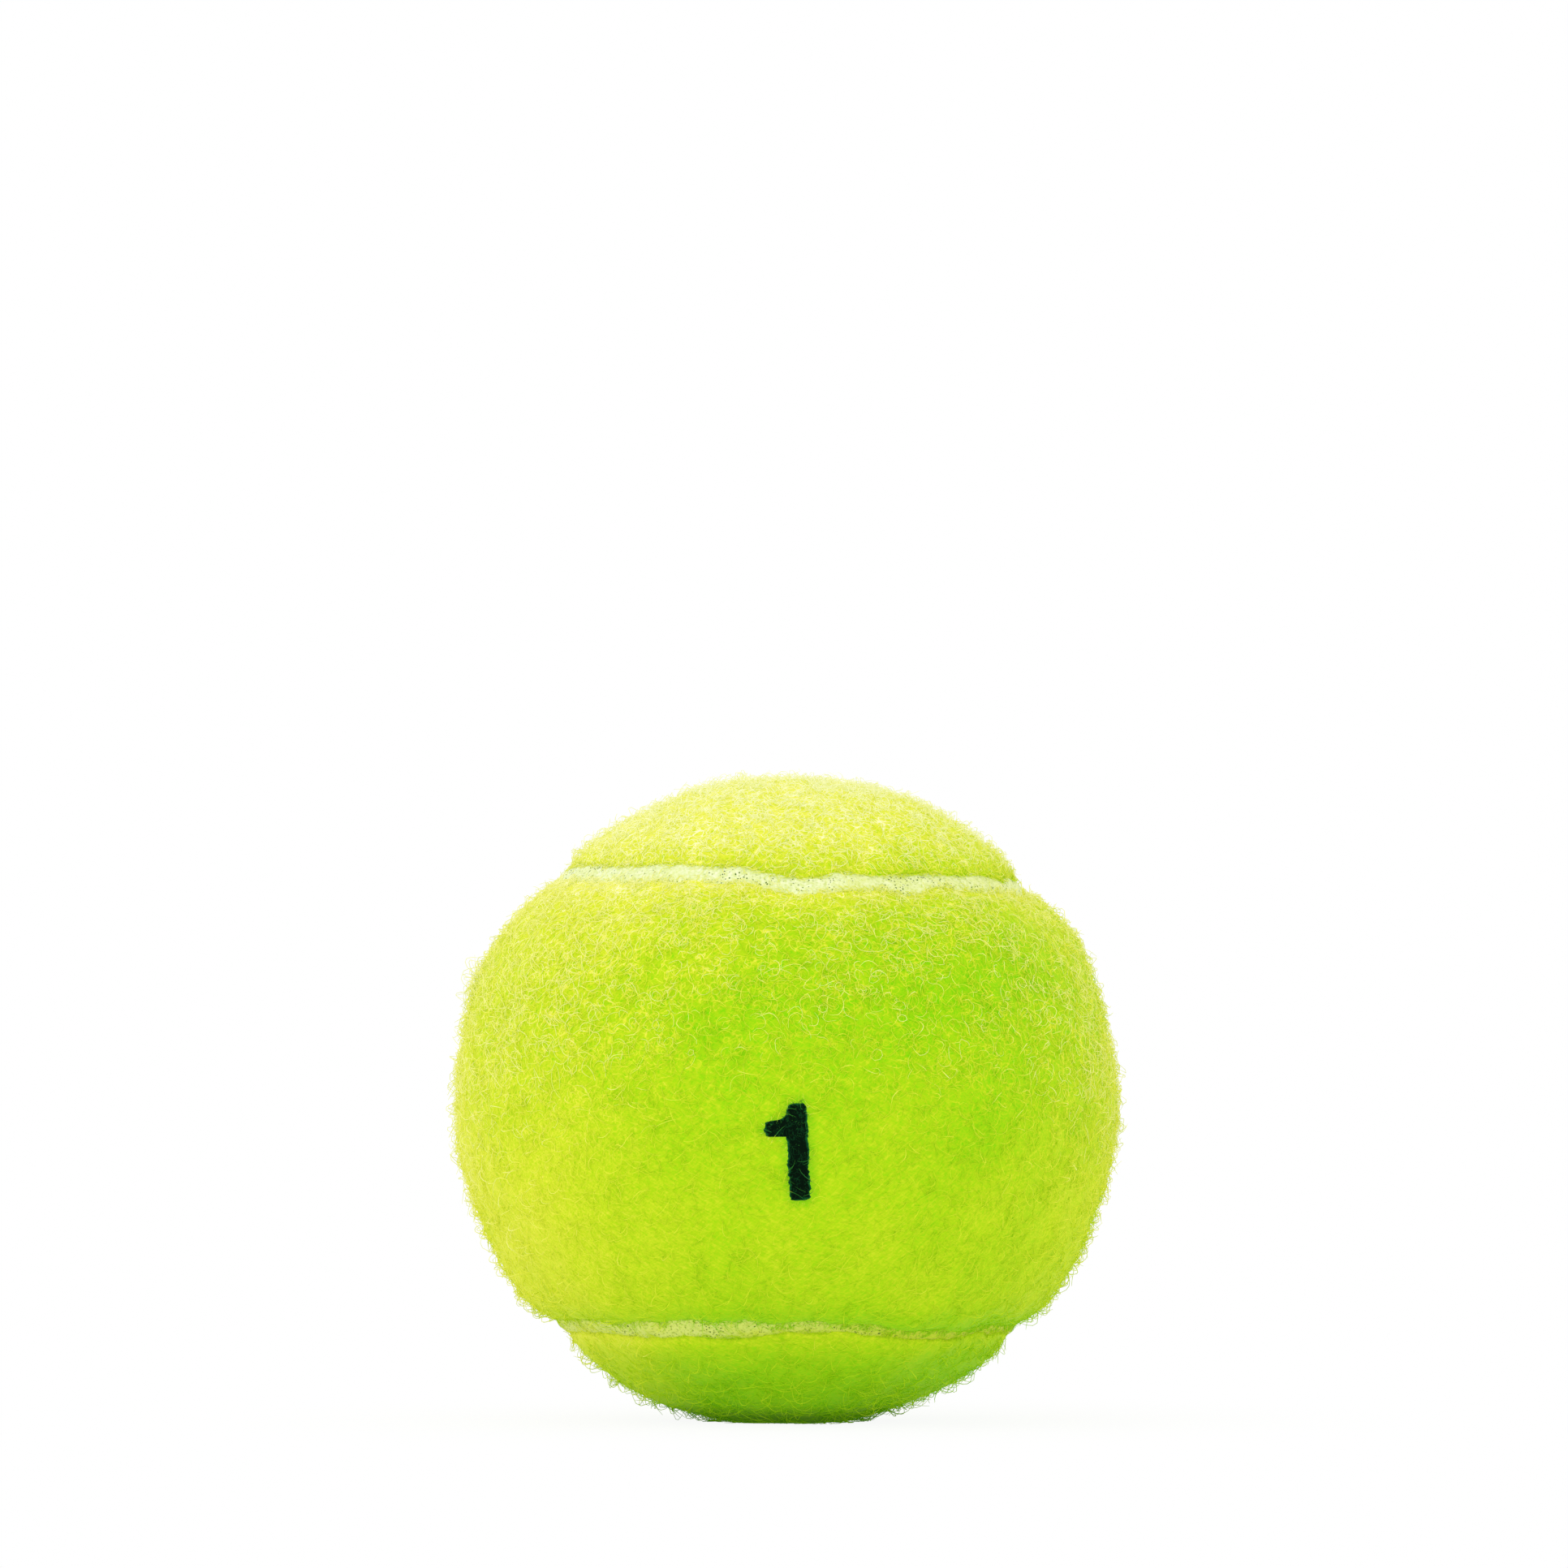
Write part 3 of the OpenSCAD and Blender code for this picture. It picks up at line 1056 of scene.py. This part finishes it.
# %% Say where each kind grows
def curl_spread(way):
    """Share of the long curls kept: more above the middle and to the right, fewer underneath."""
    patches = 0.5 + 0.18 * ripple(way, 0.35, 61)
    return np.clip(fluffed(way) * (0.8 + 0.3 * way[..., 0]) * patches * 1.5, 0.04, 1)


def side_spread(way):
    """Share of the side loops kept: all on the flanks below the middle, none in front or above."""
    flank = np.hypot(way[..., 0], np.maximum(way[..., 1], 0))
    below_middle = smooth_step(way[..., 2], 0.05, -0.25)
    above_floor = smooth_step(way[..., 2], -0.98, -0.8)
    return below_middle * smooth_step(flank, 0.25, 0.6) * above_floor


def stray_spread(way):
    """Share of the strands across the rubber kept: all low on the ball, a fifth above its middle."""
    return 0.2 + 0.8 * smooth_step(way[..., 2], 0.1, -0.3)


for spread in (curl_spread, side_spread, stray_spread):
    print(f"{spread.__name__} {spread(samples).mean():.0%} of the ball")

# %% Grow the nap
fibre_pieces = []
for panel, side_name in ((True, "front"), (False, "back")):
    for number in range(3):
        fibre_pieces.append(grow(
            f"fuzz_{side_name}_{number + 1}", 100 + 10 * number + panel, 4700, 5,
            length=(1.0, 2.4), curl=(0.35, 1.2), lift=(0.03, 0.95), width=(0.055, 0.09),
            pale=(-0.12, 0.28), panel=panel,
        ))
    for number in range(2):
        fibre_pieces.append(grow(
            f"curls_{side_name}_{number + 1}", 200 + 10 * number + panel, 2300, 9,
            length=(1.4, 4.0) if panel else (1.0, 2.6), curl=(0.3, 1.2), lift=(0.2, 0.8),
            width=(0.05, 0.08), pale=(0.25, 0.7), free=0.3, spread=curl_spread, panel=panel,
        ))
    fibre_pieces.append(grow(
        f"wisps_{side_name}", 300 + panel, 4200, 6,
        length=(1.0, 2.8), curl=(0.3, 1.2), lift=(0.45, 1.4), width=(0.06, 0.09), pale=(0.0, 0.3),
        free=0.5, pressed=0.1, panel=panel,
    ))
fibre_pieces.append(grow(
    "seam_fringe", 305, 7000, 4,
    length=(0.6, 1.6), curl=(0.3, 0.9), lift=(0.05, 0.5), width=(0.055, 0.085), pale=(-0.05, 0.3),
    over_rubber=0.75, to_seam=0.8, sow=ways_along_seam,
))
fibre_pieces.append(grow(
    "seam_strays", 306, 700, 6,
    length=(1.0, 2.4), curl=(0.5, 1.5), lift=(0.05, 0.35), width=(0.05, 0.08), pale=(-0.1, 0.3),
    over_rubber=2.5, to_seam=0.7, sow=ways_along_seam, spread=stray_spread,
))
fibre_pieces.append(grow(
    "side_loops", 308, 1500, 8,
    length=(1.2, 3.2), curl=(0.25, 0.7), lift=(0.3, 1.2), width=(0.07, 0.1), pale=(0.05, 0.35),
    free=0.25, pressed=0.0, spread=side_spread,
))
fibre_pieces.append(grow(
    "tuft", 310, 60, 8,
    length=(1.5, 3.5), curl=(0.5, 1.6), lift=(0.8, 2.2), width=(0.05, 0.07), pale=(0.1, 0.3),
    free=0.6, pressed=0.0, sow=ways_near((-0.94, -0.05, 0.34), 0.035),
))
fibre_pieces.append(grow(
    "foot_loops", 320, 420, 10,
    length=(2.0, 5.0), curl=(0.6, 1.4), lift=(0.3, 1.2), width=(0.06, 0.09), pale=(0.1, 0.4),
    free=0.3, pressed=0.1, sow=ways_near((0.05, -0.25, -0.95), 0.33),
))
ink_strands = grow(
    "number_strands", 400, 1700, 5,
    length=(0.4, 1.0), curl=(0.25, 0.8), lift=(0.08, 0.3), width=(0.045, 0.075), pale=(-0.4, 0.8),
    sow=ways_near((0, -nap_r, number_middle), 0.3), inked=True,
)

# %% [markdown]
# ## Writing shader maths
# A material is a formula. To read like one in Python, a small class wraps a socket, so that +, -,
# * and / add Math nodes.

# %% Wrap sockets
class Value:
    """One number in a node tree, on which Python's operators build Math nodes."""

    def __init__(self, paint, socket):
        self.paint = paint
        self.socket = socket

    def math(self, operation, *values):
        return self.paint.node("ShaderNodeMath", {"operation": operation}, dict(enumerate(values)))

    def __add__(self, other):
        return self.math("ADD", self, other)

    def __sub__(self, other):
        return self.math("SUBTRACT", self, other)

    def __rsub__(self, other):
        return self.math("SUBTRACT", other, self)

    def __mul__(self, other):
        return self.math("MULTIPLY", self, other)

    def __truediv__(self, other):
        return self.math("DIVIDE", self, other)

    def __abs__(self):
        return self.math("ABSOLUTE", self)

    __radd__ = __add__
    __rmul__ = __mul__

    def larger(self, other):
        return self.math("MAXIMUM", self, other)

    def sine(self):
        return self.math("SINE", self)

    def clipped(self):
        return self.math("MINIMUM", self.larger(0), 1)

    def fade(self, low, high):
        """0 below low, 1 above high, and a smooth step between them; low may be above high."""
        limits = {"Value": self, "From Min": low, "From Max": high}
        return self.paint.node("ShaderNodeMapRange", {"interpolation_type": "SMOOTHSTEP"}, limits)


# %% [markdown]
# The nodes themselves are added by a second class. It holds one material's tree. One method adds
# any node, and the others are short names for the nodes that come up again and again.

# %% Add nodes
class Paint:
    """A material under construction: its nodes, and the helpers that add them."""

    def __init__(self, name, tree=None):
        if tree is None:
            self.material = bpy.data.materials.new(name)
            self.material.use_nodes = True
            tree = self.material.node_tree
        self.tree = tree
        self.tree.nodes.clear()

    def node(self, kind, settings, sockets, output=0):
        """Adds a node, sets what it is told first, fills or links its sockets and gives one output."""
        node = self.tree.nodes.new(kind)
        stops = settings.pop("stops", ())
        for name, value in settings.items():
            setattr(node, name, value)
        for number, (position, colour) in enumerate(stops):
            elements = node.color_ramp.elements
            stop = elements[number] if number < 2 else elements.new(position)
            stop.position = position
            stop.color = colour
        for name, value in sockets.items():
            if isinstance(value, Value):
                self.tree.links.new(value.socket, node.inputs[name])
            else:
                node.inputs[name].default_value = value
        return Value(self, node.outputs[output]) if node.outputs else None

    def place(self):
        """Object coordinates, in metres."""
        return self.node("ShaderNodeTexCoord", {}, {}, "Object")

    def scaled(self, vector, factor, shift=0.0):
        """A vector times a number, moved along by a shift so that patterns differ."""
        grown = self.node("ShaderNodeVectorMath", {"operation": "SCALE"}, {0: vector, "Scale": factor})
        apart = (shift, shift * 0.7, -shift)
        return self.node("ShaderNodeVectorMath", {"operation": "ADD"}, {0: grown, 1: apart})

    def part(self, vector, axis):
        """One part of a vector, named by its letter."""
        return self.node("ShaderNodeSeparateXYZ", {}, {0: vector}, axis)

    def noise(self, vector, size_mm, detail=2.0, seed=0.0):
        """Noise whose features are about a size in millimetres, centred on 0.5."""
        spot = self.scaled(vector, 1000 / size_mm, seed)
        return self.node("ShaderNodeTexNoise", {}, {"Vector": spot, "Scale": 1.0, "Detail": detail})

    def blend(self, factor, first, second):
        """From the first colour to the second as the factor goes from 0 to 1."""
        return self.node("ShaderNodeMix", {"data_type": "RGBA"}, {0: factor, 6: first, 7: second}, 2)

    def ramp(self, factor, stops):
        """The colour at a factor on a ramp of (position, colour) stops."""
        return self.node("ShaderNodeValToRGB", {"stops": stops}, {"Fac": factor})

    def attribute(self, name):
        """The numbers that a mesh carries under a name."""
        return self.node("ShaderNodeAttribute", {"attribute_name": name}, {}, "Fac")

    def bump(self, height, depth_mm, strength=1.0):
        """A normal bent by a height from 0 to 1 that stands for a depth in millimetres."""
        sockets = {"Height": height, "Distance": depth_mm * MM, "Strength": strength}
        return self.node("ShaderNodeBump", {}, sockets)

    def finish(self, colour, roughness, normal=None, **constants):
        """The Principled surface; every constant is written with _ for the spaces of its socket."""
        sockets = {"Base Color": colour, "Roughness": roughness}
        if normal is not None:
            sockets["Normal"] = normal
        sockets.update({name.replace("_", " "): value for name, value in constants.items()})
        surface = self.node("ShaderNodeBsdfPrincipled", {}, sockets)
        self.node("ShaderNodeOutputMaterial", {}, {"Surface": surface})
        return self.material


# %% Write colours as they look
def srgb(red, green, blue):
    """A colour written as it looks on a screen, 0 to 255, as the light values that a shader uses."""
    shares = np.array([red, green, blue]) / 255
    light = np.where(shares <= 0.04045, shares / 12.92, ((shares + 0.055) / 1.055) ** 2.4)
    return (*light.tolist(), 1.0)


print(f"a screen's middle grey is {srgb(128, 128, 128)[0]:.3f} of its white light")

# %% [markdown]
# ## The felt's colour
# One ramp of colours runs from the green depth of the nap to its palest tips, and every part of
# the felt is a place on it. The skin under the fibres carries the finest layer of them as a
# pattern: the line where a smooth noise passes its middle value is a thin wandering curl, and a
# few such layers, broken up by a coarser noise, look like matted fibres. They raise the bump too.
# The dye is fluorescent, and the felt is given a painted glow for it: a little green light of its
# own, the same all over whatever the lamps do, which keeps the shaded sides of fibres green where
# plain paint would turn them brown.

# %% Choose the felt's colours
felt_stops = [
    (0.0, srgb(131, 206, 8)), (0.29, srgb(179, 210, 22)), (0.46, srgb(204, 217, 38)),
    (0.65, srgb(228, 225, 67)), (0.81, srgb(240, 232, 118)), (1.0, srgb(247, 241, 202)),
]
sheen_felt = srgb(240, 246, 150)
# Painted glow: constant green light that lifts the felt's shade, with or without lamps
painted_glow = {"Emission_Color": (0.25, 1.0, 0.0, 1.0), "Emission_Strength": 0.075}
painted_foot_shadow = srgb(72, 92, 20)
# Heights over the floor between which the foot's painted shadow comes in, in millimetres
foot_shade_mm = (2.2, 0.2)
print(f"{len(felt_stops)} colours from the nap's depth to its tips")

# %% Draw the felt's patterns
def fluffed_paint(paint, place):
    """The same measure as fluffed, for a material."""
    height = paint.part(place, "Z") / (nap_r * MM)
    right = paint.part(place, "X") / (nap_r * MM)
    return (height + right * right * 0.3).fade(-0.25, 0.5)


def floor_shade(paint, place, colour, share):
    """The colour, darkened by a painted shadow over the last two millimetres above the surface it
    stands on.
    """
    high, low = foot_shade_mm
    near_floor = paint.part(place, "Z").fade((floor_z + high) * MM, (floor_z + low) * MM)
    return paint.blend(near_floor * share, colour, painted_foot_shadow)


def curl_lines(paint, place, size_mm, width, seed):
    """Thin curls: 1 on the middle line of a noise, 0 away from it, present only in patches."""
    field = paint.noise(place, size_mm, 0.6, seed)
    line = abs(field - 0.5).fade(width, width * 0.25)
    patch = paint.noise(place, size_mm * 2.2, 1.0, seed + 5).fade(0.42, 0.56)
    return line * patch


def combed(paint, place, lean):
    """Coordinates in which a pattern is drawn out five times along an axis that leans over from Z."""
    sockets = {"Vector": place, "Rotation": (0, math.radians(lean), 0), "Scale": (1, 1, 5)}
    return paint.node("ShaderNodeMapping", {"vector_type": "TEXTURE"}, sockets)


# %% Paint the skins
def felt_skin_paint():
    """Matted felt: layers of curls where it is fluffed up, combed streaks everywhere, painted shade in
    the gaps between the curls, and a painted shadow at the foot.
    """
    paint = Paint("matted_felt")
    place = paint.place()
    curls = curl_lines(paint, place, 1.1, 0.03, 11.0)
    for size_mm, width, seed in ((0.8, 0.035, 23.0), (1.6, 0.018, 37.0)):
        curls = curls.larger(curl_lines(paint, place, size_mm, width, seed))
    streaks = paint.noise(combed(paint, place, 50), 0.17, 1.0, 51.0)
    streaks = streaks + paint.noise(combed(paint, place, -62), 0.2, 1.0, 61.0) - 1
    # Painted shade in the gaps between the curls, deep in the pile
    shaded_gaps = paint.noise(place, 0.4, 2.0, 71.0).fade(0.46, 0.3) * (1 - curls)
    up = fluffed_paint(paint, place)
    detail = (curls * 0.34 - shaded_gaps * 0.2 - 0.14) * (up * 0.85 + 0.15) + streaks * 0.4
    colour = paint.ramp(paint.attribute("pale") + detail, felt_stops)
    colour = paint.blend(paint.attribute("halo") * 0.6, colour, srgb(70, 176, 14))
    # Painted shadow at the foot
    colour = floor_shade(paint, place, colour, 0.9)
    normal = paint.bump(streaks * 0.5 + curls * up * 0.5 + 0.5, 0.03, 0.5)
    return paint.finish(
        colour, 0.95, normal, Sheen_Weight=0.35, Sheen_Roughness=0.4, Sheen_Tint=sheen_felt,
        Specular_IOR_Level=0.05, **painted_glow
    )


felt_skin_material = felt_skin_paint()
for skin in (front_skin, back_skin):
    skin_ways = unit(mesh_corners(skin.data))
    add_values(skin, "halo", ink_halo(skin_ways))
    # pale holds the nap's paleness with its painted light and shade
    add_values(skin, "pale", paleness_and_painted_light(skin_ways))
    skin.data.materials.append(felt_skin_material)
    print(felt_skin_material.name, "on", skin.name)

# %% [markdown]
# Fibres take their colour from the numbers that they carry, so that one that runs off the figure
# changes colour on its way. The patch of ink is nearly black, and greener at its border, where
# less ink went in.

# %% Paint the fibres and the ink
def fibre_paint():
    """Single fibres: each has its own shade with painted light in it, ink where it runs over the number,
    and a painted shadow near the floor.
    """
    paint = Paint("felt_fibre")
    colour = paint.ramp(paint.attribute("shade"), felt_stops)
    inked = paint.blend(paint.attribute("shade").clipped(), srgb(3, 22, 8), srgb(26, 128, 62))
    colour = paint.blend(paint.attribute("ink"), colour, inked)
    # Painted shadow on the fibres near the floor
    colour = floor_shade(paint, paint.place(), colour, 0.5)
    return paint.finish(colour, 0.8, Specular_IOR_Level=0.1, **painted_glow)


def ink_paint():
    """Inked nap: nearly black green with the grain of the fibres under it, and a greener border."""
    paint = Paint("inked_felt")
    place = paint.place()
    grain = curl_lines(paint, place, 0.4, 0.05, 15.0).larger(curl_lines(paint, place, 0.6, 0.03, 29.0))
    colour = paint.blend(grain * 0.8, srgb(3, 20, 8), srgb(10, 56, 26))
    colour = paint.blend(paint.attribute("border") * 0.8, colour, srgb(22, 104, 50))
    normal = paint.bump(grain * 0.6 + paint.noise(place, 0.4, 3.0, 8.0) * 0.6, 0.08, 0.6)
    return paint.finish(colour, 0.9, normal, Specular_IOR_Level=0.05)


fibre_material = fibre_paint()
for fibres in (*fibre_pieces, ink_strands):
    fibres.data.materials.append(fibre_material)
ink_patch.data.materials.append(ink_paint())
print(fibre_material.name, "on", len(fibre_pieces) + 1, "pieces")

# %% [markdown]
# ## The seam's latex
# Cured latex is cream, matt and slightly leathery, with pinholes from bubbles in the cement and a
# green cast, partly where dyed fibres have rubbed into it and partly painted shade and green light
# from the felt, low on the ball and to its right. A faint painted glow lifts its shade.

# %% Paint the latex
pinhole_cell_mm = 0.34


def latex_paint():
    """Cream with fine creases and grain, dark green pinholes in clusters, stains from the felt, an
    olive tint low and to the right that is partly painted shade, and a faint painted glow.
    """
    paint = Paint("seam_latex")
    place = paint.place()
    creases = paint.noise(place, 0.5, 4.0, 2.0)
    grain = paint.noise(place, 0.26, 3.0, 21.0)
    stain = paint.noise(place, 3.5, 3.0, 6.0).fade(0.45, 0.75)
    cells = {"Vector": paint.scaled(place, 1000 / pinhole_cell_mm, 4.0), "Scale": 1.0}
    pinholes = paint.node("ShaderNodeTexVoronoi", {}, cells, "Distance")
    ragged = pinholes + (grain - 0.5) * 0.5
    clusters = paint.noise(place, 2.4, 2.0, 13.0).fade(0.44, 0.56)
    pits = ragged.fade(0.26, 0.14) * clusters
    low = paint.part(place, "Z").fade(0.2 * nap_r * MM, -0.6 * nap_r * MM)
    right = paint.part(place, "X").fade(-0.3 * nap_r * MM, 0.6 * nap_r * MM)
    uneven = (creases * 0.4 + grain * 0.6).fade(0.3, 0.7)
    colour = paint.blend(uneven, srgb(218, 229, 146), srgb(248, 251, 216))
    # Partly stain, partly painted shade and green light from the felt, low on the ball and to its right
    colour = paint.blend(stain * 0.25 + low * 0.7 + right * 0.3, colour, srgb(217, 225, 72))
    # Deeper olive where it lies both low and to the right: painted shade
    colour = paint.blend(low * right * 0.6, colour, srgb(190, 204, 30))
    specks = grain.fade(0.45, 0.3) * low.larger(right * 0.5)
    colour = paint.blend(pits.larger(specks * 0.5), colour, srgb(74, 116, 20))
    normal = paint.bump(creases * 0.6 + grain * 0.4 - pits, 0.12, 0.9)
    return paint.finish(
        colour, 0.62 + creases * 0.2, normal, Specular_IOR_Level=0.3,
        Emission_Color=painted_glow["Emission_Color"], Emission_Strength=0.02
    )


latex.data.materials.append(latex_paint())
print("latex painted with", len(latex.data.materials[0].node_tree.nodes), "nodes")

# %% [markdown]
# ## The layers inside
# The core, its bond, the cement and the backings keep the frame's own shapes, which are right as
# they are, and get the finish that a cut ball shows: ground rubber, amber cement in brush
# strokes, and a plain cotton weave.

# %% Paint the hidden layers
yarn_mm = 0.55


def rubber_paint():
    """Filled natural rubber: dark, speckled with clay, buffed to a fine grain."""
    paint = Paint("core_rubber")
    place = paint.place()
    grain = paint.noise(place, 0.5, 4.0, 1.0)
    specks = paint.noise(place, 0.25, 1.0, 9.0).fade(0.66, 0.74)
    colour = paint.blend(paint.noise(place, 7, 3.0, 5.0), srgb(70, 67, 64), srgb(94, 90, 84))
    colour = paint.blend(specks * 0.5, colour, srgb(150, 144, 132))
    return paint.finish(colour, 0.78 + grain * 0.15, paint.bump(grain, 0.05, 0.7), Specular_IOR_Level=0.3)


def cement_paint(name, thin, thick, gloss):
    """Brushed cement: streaks drawn out one way, thicker where the brush turned."""
    paint = Paint(name)
    place = paint.place()
    drawn_out = paint.node("ShaderNodeVectorMath", {"operation": "MULTIPLY"}, {0: place, 1: (1, 1, 6)})
    streaks = paint.noise(drawn_out, 2.5, 4.0, 3.0)
    colour = paint.blend(streaks.fade(0.3, 0.7), thin, thick)
    return paint.finish(colour, gloss + streaks * 0.2, paint.bump(streaks, 0.08, 0.7))


def weave_paint():
    """Plain weave: two sets of yarns that cross at right angles and pass over and under in turn."""
    paint = Paint("backing_weave")
    place = paint.place()
    yarn = 2 * math.pi / (yarn_mm * MM)
    wave = [(paint.part(place, axis) * yarn).sine() for axis in "XYZ"]
    weave = wave[0] * wave[1] + wave[1] * wave[2] + wave[2] * wave[0]
    height = (weave * 0.35 + 0.5).clipped()
    colour = paint.blend(height, srgb(176, 182, 112), srgb(226, 230, 178))
    colour = paint.blend(paint.noise(place, 5, 3.0, 2.0).fade(0.5, 0.8) * 0.4, colour, srgb(190, 206, 90))
    return paint.finish(colour, 0.88, paint.bump(height, 0.1, 0.8), Sheen_Weight=0.2)


# %% Put the finishes on their layers
cement_material = cement_paint("rubber_cement", srgb(176, 152, 110), srgb(208, 188, 148), 0.45)
bond_material = cement_paint("bond_rubber", srgb(186, 158, 96), srgb(206, 178, 112), 0.35)
hidden_finishes = [
    (rubber_paint(), ("core_half_lower", "core_half_upper")),
    (bond_material, ("core_bond",)),
    (cement_material, ("core_cement", "panel_cement_front", "panel_cement_back")),
    (weave_paint(), ("felt_backing_front", "felt_backing_back")),
]
for material, nodes in hidden_finishes:
    for node in nodes:
        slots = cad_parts[node].data.materials
        slots.clear()
        slots.append(material)
    print(material.name, "on", ", ".join(nodes))

# %% [markdown]
# ## Floor and light
# The ball stands on plain white. The floor shows a share of its own shading, which keeps the small
# shadow under the ball, and the rest is lifted to white.

# %% Lay the floor
floor_reach_m = 3.0
floor_gap_mm = 0.02


def floor_plane():
    """A large square just clear of the ball's foot, its light to the camera lifted to white."""
    mesh = bpy.data.meshes.new("floor")
    level = (floor_z - floor_gap_mm) * MM
    sides = ((-1, -1), (1, -1), (1, 1), (-1, 1))
    corners = [(x * floor_reach_m, y * floor_reach_m, level) for x, y in sides]
    mesh.from_pydata(corners, [], [(0, 1, 2, 3)])
    new_object("floor", mesh)
    paint = Paint("white_floor")
    shaded = paint.node("ShaderNodeBsdfDiffuse", {}, {"Color": srgb(250, 250, 250)})
    glow = paint.node("ShaderNodeEmission", {}, {"Color": (1, 1, 1, 1), "Strength": 1.0})
    seen = paint.node("ShaderNodeLightPath", {}, {}, "Is Camera Ray")
    distance = paint.node("ShaderNodeVectorMath", {"operation": "LENGTH"}, {0: paint.place()}, "Value")
    share = distance.fade(0.01, 0.028) * 0.57 + distance.fade(0.04, 0.09) * 0.08 + 0.35
    shown = paint.node("ShaderNodeMixShader", {}, {0: seen * share, 1: shaded, 2: glow})
    paint.node("ShaderNodeOutputMaterial", {}, {"Surface": shown})
    mesh.materials.append(paint.material)


floor_plane()
print(f"floor {floor_gap_mm} mm under the foot")

# %% [markdown]
# To the camera the surroundings are pure white, while the light that they give stays at a plain
# level. A wide soft lamp above and to the left gives the bright cap, and a weaker one in front
# lights the waist.

# %% Light the ball
def white_world(light_level):
    """A white surround for the camera, glossy and see-through rays, and an even light for the rest."""
    world = bpy.data.worlds.new("surround")
    world.use_nodes = True
    bpy.context.scene.world = world
    paint = Paint("surround", world.node_tree)
    light = paint.node("ShaderNodeBackground", {}, {"Color": (1, 1, 1, 1), "Strength": light_level})
    white = paint.node("ShaderNodeBackground", {}, {"Color": (1, 1, 1, 1), "Strength": 1.0})
    seen = paint.node("ShaderNodeLightPath", {}, {}, "Is Camera Ray")
    seen = seen.larger(paint.node("ShaderNodeLightPath", {}, {}, "Is Glossy Ray"))
    seen = seen.larger(paint.node("ShaderNodeLightPath", {}, {}, "Is Transmission Ray"))
    shown = paint.node("ShaderNodeMixShader", {}, {0: seen, 1: light, 2: white})
    paint.node("ShaderNodeOutputWorld", {}, {"Surface": shown})


def soft_lamp(name, place, size, power):
    """A square lamp that faces the ball."""
    data = bpy.data.lights.new(name, "AREA")
    data.size = size
    data.energy = power
    lamp = new_object(name, data)
    lamp.location = place
    reach = math.hypot(place[0], place[1])
    lamp.rotation_euler = (math.atan2(reach, place[2]), 0, math.atan2(place[0], -place[1]))


white_world(1.0)
soft_lamp("top_light", (-0.5, -0.45, 0.75), 0.8, 1.1)
soft_lamp("low_card", (0.1, -0.9, 0.1), 0.9, 0.7)
bpy.context.scene.view_settings.view_transform = "Standard"
print("lamps:", ", ".join(lamp.name for lamp in bpy.data.lights))
